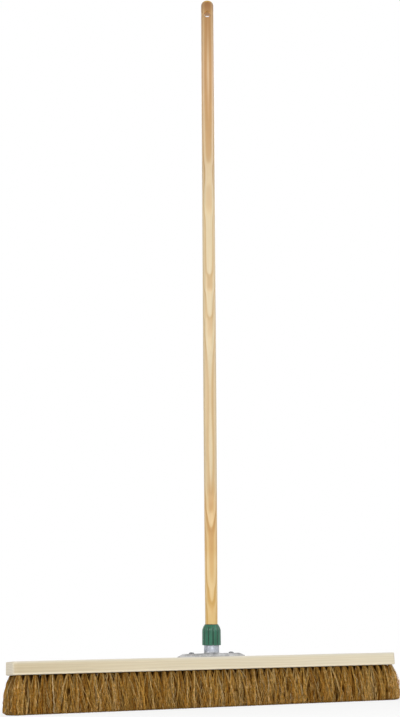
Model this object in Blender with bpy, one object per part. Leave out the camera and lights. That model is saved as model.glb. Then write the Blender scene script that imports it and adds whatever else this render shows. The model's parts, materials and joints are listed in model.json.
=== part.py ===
"""A wide platform broom: a wooden head set with coir tufts, a cast socket screwed to its top,
and a turned wooden handle held in the socket by a fluted screw collar and a split collet.

Metres, +Z up. The origin is on the floor under the middle tuft. X runs along the head, and the
handle leans towards -Y. Run it with: blender --background --python part.py
"""

import math

import bmesh
import bpy
from mathutils import Matrix, Vector

MM = 0.001
SEAT_GAP = 0.3 * MM  # between two pieces that rest on each other

# The wooden head, called the stock.
STOCK_LENGTH = 914.0 * MM
STOCK_WIDTH = 58.0 * MM
STOCK_THICKNESS = 27.0 * MM
STOCK_CORNER = 5.0 * MM  # radius of the upright corners
STOCK_ARRIS = 1.5 * MM  # width of the softened long edges
STOCK_RIM = 4.0 * MM  # wood left outside the drilled field
FIELD_DEPTH = 4.0 * MM  # depth of the recess that the tuft rows are set in

# The coir tufts, in rows along the head.
TRIM = 79.0 * MM  # from the stock's underside down to the trimmed tips
ROW_COUNT = 5
TUFTS_IN_LONG_ROW = 51  # every other row holds one fewer and is set half a pitch over
STRAND_ROOT = 2.4 * MM  # radius of a strand at the stock
TIP_GAP = 2.4 * MM  # between the trimmed tips of an outer row's strands
TWIN_GAP = 1.0 * MM  # between the roots of the two strands in an outer row's tuft
SIDE_SPLAY = 13.0 * MM  # how far the outer rows lean out of the stock's sides
END_SPLAY = 17.0 * MM  # how far the last tufts lean out of the stock's ends
END_SPLAY_POWER = 6  # a high power keeps the lean to the last few tufts
BEND_DROP = 0.45  # share of the trim, from the stock down, where a strand bends
BEND_SPLAY = 0.68  # share of the lean that it has by then
STRAND_CORNERS = [math.radians(turn) for turn in (-90, 30, 150)]  # front, right and left

# The cast socket.
LEAN = math.radians(4.0)  # the handle's lean from upright, towards -Y
FLANGE_LENGTH = 160.0 * MM
FLANGE_WIDTH = 50.0 * MM
FLANGE_END_RADIUS = 14.0 * MM
FLANGE_THICKNESS = 7.4 * MM
FLANGE_DRAFT = 3.0 * MM  # how far the sloping sides lean in
FLANGE_END_SLOPE = 12.0 * MM  # how far the two ends slope in
FLANGE_EDGE = 0.25  # share of the flange's thickness that stands upright under the slope
TUBE_WALL = 2.5 * MM
TUBE_RISE = 48.3 * MM  # along the handle, from the flange to the tube's end
TUBE_FLOOR_RISE = 2.0 * MM  # along the handle, from the flange to the floor of the bore
TUBE_FOOT = 1.8 * MM  # size of the fillet at the tube's foot
TUBE_RIM_BEVEL = 0.2  # share of the wall that is bevelled off at the tube's end
THREAD_PITCH = 4.0 * MM
THREAD_DEPTH = 1.2 * MM
THREAD_TURNS = 3.5
THREAD_BITE = 0.5 * MM  # how far a ridge is sunk into its wall

# The screws that hold the socket down.
SCREW_INSET = 32.0 * MM  # from the flange's end to a screw
SCREW_HEAD_RADIUS = 5.6 * MM
SCREW_HEAD_HEIGHT = 3.0 * MM
SCREW_SHANK_RADIUS = 2.3 * MM
SCREW_FLOOR = 9.0 * MM  # wood left under a screw's point
SCREW_POINT = 5.0 * MM
SCREW_SLOT_WIDTH = 1.3 * MM
SCREW_SLOT_DEPTH = 1.4 * MM
SCREW_SLOT_TURN = math.radians(35.0)

# The handle.
HANDLE_RADIUS = 14.8 * MM
HANDLE_LENGTH = 1524.0 * MM
SPIGOT_RADIUS = 13.6 * MM  # the parallel foot that goes into the socket
SPIGOT_CHAMFER = 2.5 * MM
SPIGOT_CLEAR = 6.0 * MM  # parallel wood left bare above the collar
HANDLE_TAPER = 600.0 * MM  # from the spigot up to the full radius
HANDLE_TOP_ROUND = 12.0 * MM
HANDLE_FIT = 0.35 * MM  # clearance round the spigot
HANG_HOLE_RADIUS = 7.8 * MM
HANG_HOLE_DROP = 38.5 * MM  # from the handle's top to the hole's centre
HANG_HOLE_SINK = 1.2 * MM  # depth of the softened edge at the hole's mouths
HANG_HOLE_TURN = math.radians(-26.0)  # the handle may be clamped at any turn

# The screw collar and the collet that it squeezes.
COLLAR_SKIRT = 30.7 * MM  # how far the collar reaches down over the tube
COLLAR_WALL = 1.1 * MM  # thinnest wall of the skirt, in a flute over the thread's groove
COLLAR_TAPER = 0.2 * MM  # how far the skirt draws in from its foot to the shoulder
COLLAR_LIP = 4.4 * MM  # height of the lip over the collet
COLLAR_LIP_WALL = 0.9 * MM
COLLAR_FIT = 0.45 * MM  # clearance between each thread's crest and the other's wall
SHOULDER_CURVE = 1.4  # 1 is a straight cone from the skirt to the lip, and more is rounder
FLUTE_COUNT = 12
FLUTE_DEPTH = 1.1 * MM
COLLET_LENGTH = 9.0 * MM
COLLET_WALL_TOP = 1.2 * MM  # its foot is as thick as the tube that it stands on
COLLET_SPLIT = math.radians(20.0)

# Worked out from the sizes above. Heights on the handle's axis are from the stock's top.
STOCK_TOP = TRIM + STOCK_THICKNESS
FIELD_LENGTH = STOCK_LENGTH - 2 * STOCK_RIM
FIELD_WIDTH = STOCK_WIDTH - 2 * STOCK_RIM
FIELD_TOP = TRIM + FIELD_DEPTH
TUFT_PITCH = FIELD_LENGTH / TUFTS_IN_LONG_ROW
ROW_PITCH = FIELD_WIDTH / ROW_COUNT
STRAND_TIP = (TUFT_PITCH / 2 - TIP_GAP) / 2 / math.cos(STRAND_CORNERS[1])
FLANGE_TOP = SEAT_GAP + FLANGE_THICKNESS
TUBE_FLOOR = FLANGE_TOP + TUBE_FLOOR_RISE
TUBE_END = FLANGE_TOP + TUBE_RISE
BORE_RADIUS = SPIGOT_RADIUS + HANDLE_FIT
TUBE_RADIUS = BORE_RADIUS + TUBE_WALL
THREAD_ROOT_WIDTH = 0.475 * THREAD_PITCH
THREAD_CREST_WIDTH = 0.2 * THREAD_PITCH
THREAD_START = TUBE_END - THREAD_ROOT_WIDTH - THREAD_TURNS * THREAD_PITCH
SEAT_START = FLANGE_LENGTH / 2 + STOCK_RIM
SCREW_OFFSET = FLANGE_LENGTH / 2 - SCREW_INSET
SCREW_SEAT = STOCK_TOP + FLANGE_TOP + SEAT_GAP
SCREW_TIP = FIELD_TOP + SCREW_FLOOR
COLLAR_FOOT = TUBE_END - COLLAR_SKIRT
COLLET_FOOT = TUBE_END + SEAT_GAP
COLLET_TOP = COLLET_FOOT + COLLET_LENGTH
COLLAR_TOP = COLLET_TOP + SEAT_GAP + COLLAR_LIP
SKIRT_BORE = TUBE_RADIUS + THREAD_DEPTH + COLLAR_FIT
SHOULDER_RADIUS = SKIRT_BORE + COLLAR_WALL + FLUTE_DEPTH
HANDLE_FOOT = TUBE_FLOOR + SEAT_GAP
SPIGOT_LENGTH = COLLAR_TOP + SPIGOT_CLEAR - HANDLE_FOOT

FINE = 48  # sides of the round pieces that show
COARSE = 24  # sides of bores, screws and holes
SIDES_PER_FLUTE = 4


def clear_scene():
    """Takes out whatever the file opened with."""
    for thing in list(bpy.data.objects):
        bpy.data.objects.remove(thing, do_unlink=True)


def material(name, colour, roughness, metallic=0.0):
    """A plain Principled material in linear colour."""
    made = bpy.data.materials.new(name)
    made.use_nodes = True
    shader = made.node_tree.nodes["Principled BSDF"]
    shader.inputs["Base Color"].default_value = (*colour, 1.0)
    shader.inputs["Roughness"].default_value = roughness
    shader.inputs["Metallic"].default_value = metallic
    made.diffuse_color = (*colour, 1.0)
    return made


def add_object(name, mesh, finish=None, parent=None, place=None):
    """Puts a mesh in the scene as a named piece."""
    piece = bpy.data.objects.new(name, mesh)
    bpy.context.scene.collection.objects.link(piece)
    if finish:
        mesh.materials.append(finish)
    piece.parent = parent
    if place is not None:
        piece.matrix_local = place
    return piece


def add_helper(name, mesh, parent=None, place=None):
    """A shape that only cuts or joins, left out of the model."""
    helper = add_object(name, mesh, None, parent, place)
    helper.hide_render = True
    helper.display_type = "WIRE"
    return helper


def mesh_of(name, points, faces):
    """A mesh from its points and faces, with outward normals."""
    mesh = bpy.data.meshes.new(name)
    mesh.from_pydata(points, [], faces)
    shape = bmesh.new()
    shape.from_mesh(mesh)
    bmesh.ops.recalc_face_normals(shape, faces=shape.faces)
    shape.to_mesh(mesh)
    shape.free()
    mesh.update()
    return mesh


def smooth(mesh, angle=math.radians(35.0)):
    """Shades the round faces smooth and keeps the corners sharp."""
    mesh.shade_smooth()
    mesh.set_sharp_from_angle(angle=angle)


def combine(piece, helper, operation):
    """Cuts a helper from a piece, or joins it on."""
    change = piece.modifiers.new(helper.name, "BOOLEAN")
    change.object = helper
    change.operation = operation
    change.solver = "EXACT"


def turned(name, profile, sides, radius_at=None):
    """Turns an open profile of (radius, height) points, foot to top, into a closed solid.

    A radius of nought at either end closes on the axis. radius_at, where it is given, changes a
    radius by the angle round the axis."""
    points, rings = [], []
    for index, (radius, height) in enumerate(profile):
        if radius == 0:
            rings.append([len(points)])
            points.append((0.0, 0.0, height))
            continue
        rings.append(list(range(len(points), len(points) + sides)))
        for side in range(sides):
            angle = 2 * math.pi * side / sides
            r = radius_at(index, radius, angle) if radius_at else radius
            points.append((r * math.cos(angle), r * math.sin(angle), height))
    closed = profile[0][0] != 0
    pairs = list(zip(rings, rings[1:] + rings[:1] if closed else rings[1:]))
    faces = []
    for low, high in pairs:
        for side in range(sides):
            after = (side + 1) % sides
            if len(low) == 1:
                faces.append((low[0], high[after], high[side]))
            elif len(high) == 1:
                faces.append((low[side], low[after], high[0]))
            else:
                faces.append((low[side], low[after], high[after], high[side]))
    mesh = mesh_of(name, points, faces)
    smooth(mesh)
    return mesh


def bore_profile(radius, low, high):
    """The profile of a plain round cutter."""
    return [(0, low), (radius, low), (radius, high), (0, high)]


def rounded_block(name, length, width, low, high, corner, steps=4):
    """An upright block with rounded vertical corners."""
    outline = []
    for quarter in range(4):
        middle = math.pi / 4 + quarter * math.pi / 2
        x = math.copysign(length / 2 - corner, math.cos(middle))
        y = math.copysign(width / 2 - corner, math.sin(middle))
        for step in range(steps + 1):
            angle = middle - math.pi / 4 + step * math.pi / 2 / steps
            outline.append((x + corner * math.cos(angle), y + corner * math.sin(angle)))
    count = len(outline)
    points = [(x, y, low) for x, y in outline] + [(x, y, high) for x, y in outline]
    faces = [tuple(range(count - 1, -1, -1)), tuple(range(count, 2 * count))]
    for side in range(count):
        after = (side + 1) % count
        faces.append((side, after, count + after, count + side))
    return mesh_of(name, points, faces)


def divide(mesh, x):
    """Divides a mesh's faces along an upright plane across the head."""
    shape = bmesh.new()
    shape.from_mesh(mesh)
    parts = shape.verts[:] + shape.edges[:] + shape.faces[:]
    bmesh.ops.bisect_plane(shape, geom=parts, plane_co=(x, 0, 0), plane_no=(1, 0, 0))
    shape.to_mesh(mesh)
    shape.free()


def stock(finish, screw_spots):
    """The wooden head: one board, with a shallow recess underneath where the tuft rows are set.

    Its long edges get a corner past each end of the flange, so the bare top's faces end there."""
    mesh = rounded_block("stock", STOCK_LENGTH, STOCK_WIDTH, TRIM, STOCK_TOP, STOCK_CORNER)
    for x in (-SEAT_START, SEAT_START):
        divide(mesh, x)
    board = add_object("stock", mesh, finish)
    edges = board.modifiers.new("softened_edges", "BEVEL")
    edges.width = STOCK_ARRIS
    edges.segments = 2
    edges.limit_method = "ANGLE"
    edges.angle_limit = math.radians(60.0)
    reach = STOCK_THICKNESS  # how far a cutter runs past the board
    field = rounded_block(
        "drilled_field",
        FIELD_LENGTH + 2 * SEAT_GAP,
        FIELD_WIDTH + 2 * SEAT_GAP,
        TRIM - reach,
        FIELD_TOP,
        SEAT_GAP,
        1,
    )
    combine(board, add_helper("drilled_field", field), "DIFFERENCE")
    for side, spot in screw_spots.items():
        profile = bore_profile(SCREW_SHANK_RADIUS + SEAT_GAP, SCREW_TIP - SEAT_GAP, STOCK_TOP + reach)
        pilot = turned("pilot_" + side, profile, COARSE)
        combine(board, add_helper("pilot_" + side, pilot, place=Matrix.Translation(spot)), "DIFFERENCE")
    return board


def splayed(x, y, share):
    """Where a strand rooted at (x, y) is, at a share of its full lean.

    It leans out of the stock's side, and near the ends along the stock too."""
    half_field = (FIELD_LENGTH - TUFT_PITCH) / 2
    half_rows = (FIELD_WIDTH - ROW_PITCH) / 2
    along = END_SPLAY * share * math.copysign(abs(x / half_field) ** END_SPLAY_POWER, x)
    across = SIDE_SPLAY * share * y / half_rows
    return x + along, y + across


def strand_rings(root, middle, y):
    """The corners of a strand's section at its root, its bend and its trimmed tip.

    It leans from its root to the middle of its cell, so that the tips are evenly spread."""
    levels = [
        (TRIM, STRAND_ROOT, 0.0),
        (TRIM * (1 - BEND_DROP), (STRAND_ROOT + STRAND_TIP) / 2, BEND_SPLAY),
        (0.0, STRAND_TIP, 1.0),
    ]
    corners = []
    for height, radius, share in levels:
        x, across = splayed(root + (middle - root) * share, y, share)
        corners += [
            (x + radius * math.cos(turn), across + radius * math.sin(turn), height)
            for turn in STRAND_CORNERS
        ]
    return corners


def row_cells(tufts, twins):
    """The cells along a row as (start, end, root) in x, with no root where the slice is bare."""
    first = -(tufts - 1) / 2 * TUFT_PITCH
    margin = first - TUFT_PITCH / 2 + FIELD_LENGTH / 2
    spread = STRAND_ROOT * math.cos(STRAND_CORNERS[1]) + TWIN_GAP / 2
    cells = []
    if margin > SEAT_GAP:
        cells.append((-FIELD_LENGTH / 2, first - TUFT_PITCH / 2, None))
    for tuft in range(tufts):
        x = first + tuft * TUFT_PITCH
        if twins:
            cells.append((x - TUFT_PITCH / 2, x, x - spread))
            cells.append((x, x + TUFT_PITCH / 2, x + spread))
        else:
            cells.append((x - TUFT_PITCH / 2, x + TUFT_PITCH / 2, x))
    if margin > SEAT_GAP:
        cells.append((first + (tufts - 0.5) * TUFT_PITCH, FIELD_LENGTH / 2, None))
    return cells


def tuft_row(name, y, tufts, twins, finish):
    """One row of coir strands, grown out of the slice of stock that holds them.

    The slice's underside is a line of cells. In each, a ring of faces runs from the cell's four
    corners to the strand's root, and the strand goes on down to a flat trimmed tip."""
    cells = row_cells(tufts, twins)
    half = (ROW_PITCH - SEAT_GAP) / 2
    stops = [cells[0][0]] + [cell[1] for cell in cells]
    points = [(x, side, TRIM) for x in stops for side in (y - half, y + half)]
    faces = []
    for index, (start, end, root) in enumerate(cells):
        front_start, back_start = 2 * index, 2 * index + 1
        front_end, back_end = 2 * index + 2, 2 * index + 3
        if root is None:
            faces.append((front_start, back_start, back_end, front_end))
            continue
        first = len(points)
        points += strand_rings(root, (start + end) / 2, y)
        sides = len(STRAND_CORNERS)
        rings = [range(ring, ring + sides) for ring in range(first, len(points), sides)]
        front, right, left = rings[0]
        faces += [
            (front_start, front, front_end),
            (front_end, front, right),
            (front_end, right, back_end),
            (back_end, right, left),
            (back_end, left, back_start),
            (back_start, left, front_start),
            (front_start, left, front),
        ]
        for upper, lower in zip(rings, rings[1:]):
            for side in range(sides):
                after = (side + 1) % sides
                faces.append((upper[side], upper[after], lower[after], lower[side]))
        faces.append(tuple(rings[-1]))
    top = len(points)
    for x in (stops[0], stops[-1]):
        points += [(x, y - half, FIELD_TOP - SEAT_GAP), (x, y + half, FIELD_TOP - SEAT_GAP)]
    last = 2 * (len(stops) - 1)
    faces.append((top, top + 1, top + 3, top + 2))
    faces.append((0, 1, top + 1, top))
    faces.append((last, last + 1, top + 3, top + 2))
    faces.append(tuple(range(0, last + 1, 2)) + (top + 2, top))
    faces.append(tuple(range(1, last + 2, 2)) + (top + 3, top + 1))
    return add_object(name, mesh_of(name, points, faces), finish)


def flange_outline(middle_radius, end_radius, half_length, sides=FINE):
    """A lozenge with round corners: the outline round a middle circle and two end circles.

    Each point lies on the circle that reaches furthest in its direction."""
    reach = half_length - end_radius
    circles = [(0.0, middle_radius), (reach, end_radius), (-reach, end_radius)]
    outline = []
    for side in range(sides):
        angle = 2 * math.pi * (side + 0.5) / sides
        centre, radius = max(circles, key=lambda circle: circle[0] * math.cos(angle) + circle[1])
        outline.append((centre + radius * math.cos(angle), radius * math.sin(angle)))
    return outline


def bar(name, sections):
    """A four-sided bar through a list of four-point sections, closed at both ends."""
    points = [point for section in sections for point in section]
    faces = []
    for low in range(0, len(points) - 4, 4):
        for corner in range(4):
            after = (corner + 1) % 4
            faces.append((low + corner, low + after, low + 4 + after, low + 4 + corner))
    faces.append((3, 2, 1, 0))
    faces.append(tuple(range(len(points) - 4, len(points))))
    return mesh_of(name, points, faces)


def around(section, angle, height=0.0):
    """A section of (radius, height) points, placed at an angle round the axis and lifted."""
    return [(r * math.cos(angle), r * math.sin(angle), height + rise) for r, rise in section]


def ridge(name, wall_radius, depth, start, turns):
    """A screw thread's ridge, as a four-sided bar wound round the axis.

    depth is positive on the outside of a wall and negative inside a bore. The ridge rises out of
    its wall over its first and last quarter turns."""
    outward = math.copysign(1.0, depth)
    base = wall_radius - outward * THREAD_BITE
    sunk = wall_radius - outward * THREAD_BITE / 2
    steps = round(turns * COARSE)
    fade = COARSE / 4
    sections = []
    for step in range(steps + 1):
        risen = min(1.0, step / fade, (steps - step) / fade)
        crest = sunk + (wall_radius + depth - sunk) * risen
        section = [
            (base, -THREAD_ROOT_WIDTH / 2),
            (crest, -THREAD_CREST_WIDTH / 2),
            (crest, THREAD_CREST_WIDTH / 2),
            (base, THREAD_ROOT_WIDTH / 2),
        ]
        sections.append(around(section, 2 * math.pi * step / COARSE, start + THREAD_PITCH * step / COARSE))
    return bar(name, sections)


def flange(name):
    """The lozenge plate under the tube: a short upright edge, sloping sides and a flat top."""
    low = STOCK_TOP + SEAT_GAP
    outer = flange_outline(FLANGE_WIDTH / 2, FLANGE_END_RADIUS, FLANGE_LENGTH / 2)
    inner = flange_outline(
        FLANGE_WIDTH / 2 - FLANGE_DRAFT,
        FLANGE_END_RADIUS - FLANGE_DRAFT,
        FLANGE_LENGTH / 2 - FLANGE_END_SLOPE,
    )
    count = len(outer)
    points = [(x, y, low) for x, y in outer]
    points += [(x, y, low + FLANGE_THICKNESS * FLANGE_EDGE) for x, y in outer]
    points += [(x, y, low + FLANGE_THICKNESS) for x, y in inner]
    faces = [tuple(range(count - 1, -1, -1)), tuple(range(2 * count, 3 * count))]
    for ring in (0, count):
        for side in range(count):
            after = (side + 1) % count
            faces.append((ring + side, ring + after, ring + count + after, ring + count + side))
    return mesh_of(name, points, faces)


def socket(finish, axis, screw_spots):
    """The casting: a lozenge flange with sloping sides, and the leaning tube that takes the handle."""
    casting = add_object("handle_socket", flange("handle_socket"), finish)
    spread = TUBE_RADIUS + 2 * TUBE_FOOT
    rim = TUBE_WALL * TUBE_RIM_BEVEL
    tube_profile = [
        (0, FLANGE_TOP / 2),
        (spread, FLANGE_TOP / 2),
        (spread, FLANGE_TOP - TUBE_FOOT),
        (TUBE_RADIUS + TUBE_FOOT, FLANGE_TOP),
        (TUBE_RADIUS + TUBE_FOOT * 0.3, FLANGE_TOP + TUBE_FOOT * 0.7),
        (TUBE_RADIUS, FLANGE_TOP + 2 * TUBE_FOOT),
        (TUBE_RADIUS, TUBE_END - rim),
        (TUBE_RADIUS - rim, TUBE_END),
        (0, TUBE_END),
    ]
    tube = add_helper("tube", turned("tube", tube_profile, FINE), axis)
    combine(casting, tube, "UNION")
    wound = ridge("tube_thread", TUBE_RADIUS, THREAD_DEPTH, THREAD_START, THREAD_TURNS)
    combine(casting, add_helper("tube_thread", wound, axis), "UNION")
    bore = turned("bore", bore_profile(BORE_RADIUS, TUBE_FLOOR, 2 * TUBE_END), FINE)
    combine(casting, add_helper("bore", bore, axis), "DIFFERENCE")
    for side, spot in screw_spots.items():
        profile = bore_profile(SCREW_SHANK_RADIUS + SEAT_GAP, TRIM, 2 * STOCK_TOP)
        hole = turned("flange_hole_" + side, profile, COARSE)
        helper = add_helper("flange_hole_" + side, hole, place=Matrix.Translation(spot))
        combine(casting, helper, "DIFFERENCE")
    return casting


def screw(side, spot, finish):
    """A round-headed wood screw with a slot, its head on the flange and its point in the stock."""
    top = SCREW_SEAT + SCREW_HEAD_HEIGHT
    edge = SCREW_SEAT + SCREW_HEAD_HEIGHT / 4  # the head's upright edge under its dome
    dome = [
        (SCREW_HEAD_RADIUS * math.cos(angle), edge + (top - edge) * math.sin(angle))
        for angle in (math.radians(degrees) for degrees in (0, 25, 50, 70))
    ]
    shank = [(SCREW_SHANK_RADIUS, SCREW_TIP + SCREW_POINT), (SCREW_SHANK_RADIUS, SCREW_SEAT)]
    profile = [(0, SCREW_TIP), *shank, (SCREW_HEAD_RADIUS, SCREW_SEAT), *dome, (0, top)]
    name = "flange_screw_" + side
    place = Matrix.Translation(spot)
    made = add_object(name, turned(name, profile, COARSE), finish, place=place)
    slot = rounded_block(
        "slot_" + side,
        3 * SCREW_HEAD_RADIUS,
        SCREW_SLOT_WIDTH,
        top - SCREW_SLOT_DEPTH,
        top + SCREW_HEAD_HEIGHT,
        SCREW_SLOT_WIDTH / 10,
        1,
    )
    turn = Matrix.Rotation(SCREW_SLOT_TURN, 4, "Z")
    combine(made, add_helper("slot_" + side, slot, place=place @ turn), "DIFFERENCE")
    return made


def handle(finish, axis):
    """The turned handle: a spigot at its foot, a long taper, a round top and a hole to hang it by."""
    rounding = [
        (
            HANDLE_RADIUS - HANDLE_TOP_ROUND * (1 - math.cos(math.radians(degrees))),
            HANDLE_LENGTH - HANDLE_TOP_ROUND * (1 - math.sin(math.radians(degrees))),
        )
        for degrees in (0, 22.5, 45, 67.5, 85)
    ]
    profile = [
        (0, 0),
        (SPIGOT_RADIUS - SPIGOT_CHAMFER, 0),
        (SPIGOT_RADIUS, SPIGOT_CHAMFER),
        (SPIGOT_RADIUS, SPIGOT_LENGTH),
        (HANDLE_RADIUS, SPIGOT_LENGTH + HANDLE_TAPER),
        *rounding,
        (0, HANDLE_LENGTH),
    ]
    place = Matrix.Translation((0, 0, HANDLE_FOOT))
    made = add_object("handle", turned("handle", profile, FINE), finish, axis, place)
    reach = 2 * HANDLE_RADIUS
    sunk = HANDLE_RADIUS - HANG_HOLE_SINK
    mouth = HANG_HOLE_RADIUS + reach - sunk
    hole_profile = [(0, -reach), (mouth, -reach), (HANG_HOLE_RADIUS, -sunk)]
    hole_profile += [(HANG_HOLE_RADIUS, sunk), (mouth, reach), (0, reach)]
    across = Matrix.Rotation(HANG_HOLE_TURN, 4, "Z") @ Matrix.Rotation(math.radians(90.0), 4, "X")
    spot = Matrix.Translation((0, 0, HANDLE_FOOT + HANDLE_LENGTH - HANG_HOLE_DROP))
    hole = add_helper("hang_hole", turned("hang_hole", hole_profile, COARSE), axis, spot @ across)
    combine(made, hole, "DIFFERENCE")
    return made


def collar_outside():
    """The collar's outside as (radius, height, share of the flutes' depth), foot to top.

    The skirt draws in a little up to the shoulder, which then falls to the lip along a power
    curve."""
    shoulder = COLLET_FOOT - COLLAR_FOOT
    top = COLLAR_TOP - COLLAR_FOOT
    lip_radius = BORE_RADIUS + COLLAR_LIP_WALL
    drop = SHOULDER_RADIUS - lip_radius
    outside = [
        (SHOULDER_RADIUS + COLLAR_TAPER * (1 - share), shoulder * share)
        for share in (0, 0.1, 0.6, 1)
    ]
    outside += [
        (SHOULDER_RADIUS - drop * share**SHOULDER_CURVE, shoulder + (top - shoulder) * share)
        for share in (0.25, 0.5, 0.75, 1)
    ]
    fluted = (0.0, 1.0, 1.0, 1.0, 0.9, 0.6, 0.2, 0.0)
    return [(radius, height, share) for (radius, height), share in zip(outside, fluted)]


def collar_inside():
    """The collar's inside as (radius, height), top to foot: lip, cone and threaded skirt."""
    cone_foot = COLLET_FOOT - COLLAR_FOOT - SEAT_GAP
    lip_foot = COLLET_TOP - COLLAR_FOOT + SEAT_GAP
    return [
        (BORE_RADIUS, COLLAR_TOP - COLLAR_FOOT),
        (BORE_RADIUS, lip_foot),
        (BORE_RADIUS + COLLET_WALL_TOP + SEAT_GAP, lip_foot),
        (BORE_RADIUS + TUBE_WALL + SEAT_GAP, cone_foot),
        (SKIRT_BORE, cone_foot - SEAT_GAP),
        (SKIRT_BORE, 0.0),
    ]


def collar(finish, axis):
    """The fluted screw collar, with its thread inside the skirt."""
    outside = collar_outside()

    def radius_at(index, radius, angle):
        if index >= len(outside):
            return radius
        hollow = (1 - math.cos(FLUTE_COUNT * angle)) / 2
        return radius - FLUTE_DEPTH * outside[index][2] * hollow

    profile = [(radius, height) for radius, height, share in outside] + collar_inside()
    mesh = turned("clamp_collar", profile, SIDES_PER_FLUTE * FLUTE_COUNT, radius_at)
    place = Matrix.Translation((0, 0, COLLAR_FOOT))
    made = add_object("clamp_collar", mesh, finish, axis, place)
    # The inner ridge lies half a pitch from the outer one all the way up.
    start = THREAD_START - COLLAR_FOOT + THREAD_PITCH / 2
    wound = ridge("collar_thread", SKIRT_BORE, -THREAD_DEPTH, start, THREAD_TURNS - 1)
    combine(made, add_helper("collar_thread", wound, axis, place), "UNION")
    return made


def collet(finish, axis):
    """The split, tapered ring that the collar squeezes on to the handle."""
    section = [
        (BORE_RADIUS, 0.0),
        (BORE_RADIUS + TUBE_WALL, 0.0),
        (BORE_RADIUS + COLLET_WALL_TOP, COLLET_LENGTH),
        (BORE_RADIUS, COLLET_LENGTH),
    ]
    swept = 2 * math.pi - COLLET_SPLIT
    sections = [around(section, COLLET_SPLIT / 2 + swept * step / FINE) for step in range(FINE + 1)]
    mesh = bar("clamp_collet", sections)
    smooth(mesh)
    return add_object("clamp_collet", mesh, finish, axis, Matrix.Translation((0, 0, COLLET_FOOT)))


def handle_axis():
    """An empty on the stock's top where the handle's axis meets it, its Z along the handle."""
    axis = bpy.data.objects.new("handle_axis", None)
    bpy.context.scene.collection.objects.link(axis)
    axis.location = (0, 0, STOCK_TOP)
    axis.rotation_euler = (LEAN, 0, 0)
    return axis


def main():
    clear_scene()
    pale_wood = material("sawn_whitewood", (0.70, 0.62, 0.43), 0.65)
    handle_wood = material("turned_pine", (0.68, 0.46, 0.22), 0.45)
    coir = material("coir_fibre", (0.21, 0.11, 0.03), 0.85)
    casting = material("cast_aluminium", (0.48, 0.50, 0.53), 0.4, 0.9)
    green = material("green_polypropylene", (0.02, 0.16, 0.09), 0.4)
    natural = material("natural_nylon", (0.75, 0.73, 0.65), 0.5)
    steel = material("zinc_plated_steel", (0.45, 0.45, 0.45), 0.35, 0.9)

    axis = handle_axis()
    spots = {"left": Vector((-SCREW_OFFSET, 0, 0)), "right": Vector((SCREW_OFFSET, 0, 0))}
    stock(pale_wood, spots)
    for row in range(ROW_COUNT):
        y = (row - (ROW_COUNT - 1) / 2) * ROW_PITCH
        tufts = TUFTS_IN_LONG_ROW - row % 2
        twins = row in (0, ROW_COUNT - 1)
        tuft_row(f"tuft_row_{row + 1}", y, tufts, twins, coir)
    socket(casting, axis, spots)
    for side, spot in spots.items():
        screw(side, spot, steel)
    handle(handle_wood, axis)
    collar(green, axis)
    collet(natural, axis)
    bpy.context.view_layer.update()


main()
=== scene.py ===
# %% [markdown]
# # A wide coir broom
#
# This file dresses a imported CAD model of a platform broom: a long wooden head set with tufts of
# coir, a cast socket screwed to its top, and a turned pine handle held by a green screw collar.
# The CAD says where each piece is and how it moves. What follows gives each visible piece the
# shape and the surface that the eye expects, one step at a time. Lengths are in metres, X runs
# along the head, Z is up, and the handle leans a little towards -Y.

# %% The frame
import json
import math

import bmesh
import bpy
import numpy as np
from mathutils import Matrix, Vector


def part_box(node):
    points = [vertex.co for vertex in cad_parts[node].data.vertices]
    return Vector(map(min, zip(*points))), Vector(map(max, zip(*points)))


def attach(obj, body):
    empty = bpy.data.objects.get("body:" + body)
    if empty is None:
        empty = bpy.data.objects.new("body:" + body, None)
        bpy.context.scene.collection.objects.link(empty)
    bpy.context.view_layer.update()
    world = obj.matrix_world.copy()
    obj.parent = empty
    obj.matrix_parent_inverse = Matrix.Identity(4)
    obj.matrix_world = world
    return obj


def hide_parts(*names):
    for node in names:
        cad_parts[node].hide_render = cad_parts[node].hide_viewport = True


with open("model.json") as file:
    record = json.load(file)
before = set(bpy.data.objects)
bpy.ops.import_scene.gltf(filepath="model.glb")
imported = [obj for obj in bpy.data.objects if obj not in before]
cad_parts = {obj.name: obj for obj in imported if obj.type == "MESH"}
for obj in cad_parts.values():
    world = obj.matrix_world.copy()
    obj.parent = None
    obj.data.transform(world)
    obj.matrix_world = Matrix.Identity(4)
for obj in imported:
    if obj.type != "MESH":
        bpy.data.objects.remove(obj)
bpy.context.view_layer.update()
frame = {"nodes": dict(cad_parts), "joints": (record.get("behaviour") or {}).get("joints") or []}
MM = 0.001

# %% [markdown]
# ## The camera
#
# The photograph was taken from close to the floor, a little to the left of the broom, with the
# lens tilted up. Such a view is best described the way a photographer would set it: a point to
# look at, a distance, a turn round the broom, a tilt, and a small roll of the camera about its
# own axis. The camera's place follows from these, and the lens needs no shift.

# %% The camera
LONG_SIDE_PIXELS = 717  # the picture is 400 by 717
FOCAL_PIXELS = 1301
SENSOR = 36.0  # mm along the picture's longer side
LOOK_AT = np.array([-1.9, 0.0, 777.8]) * MM
DISTANCE = 3001 * MM
TURN, TILT, ROLL = (math.radians(value) for value in (-25.74, -14.38, -2.08))


def viewing_axes(turn, tilt, roll=0.0):
    """The right, up and backward directions of a camera or lamp that looks at the broom.

    Backward points from the target to the camera: -Y turned about Z, then raised by the tilt.
    Right is level and square to it, up is square to both, and the roll turns that pair."""
    back = np.array(
        [math.sin(turn) * math.cos(tilt), -math.cos(turn) * math.cos(tilt), math.sin(tilt)]
    )
    right = np.cross([0.0, 0.0, 1.0], back)
    right /= np.linalg.norm(right)
    up = np.cross(back, right)
    rolled_right = math.cos(roll) * right + math.sin(roll) * up
    return rolled_right, np.cross(back, rolled_right), back


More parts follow.
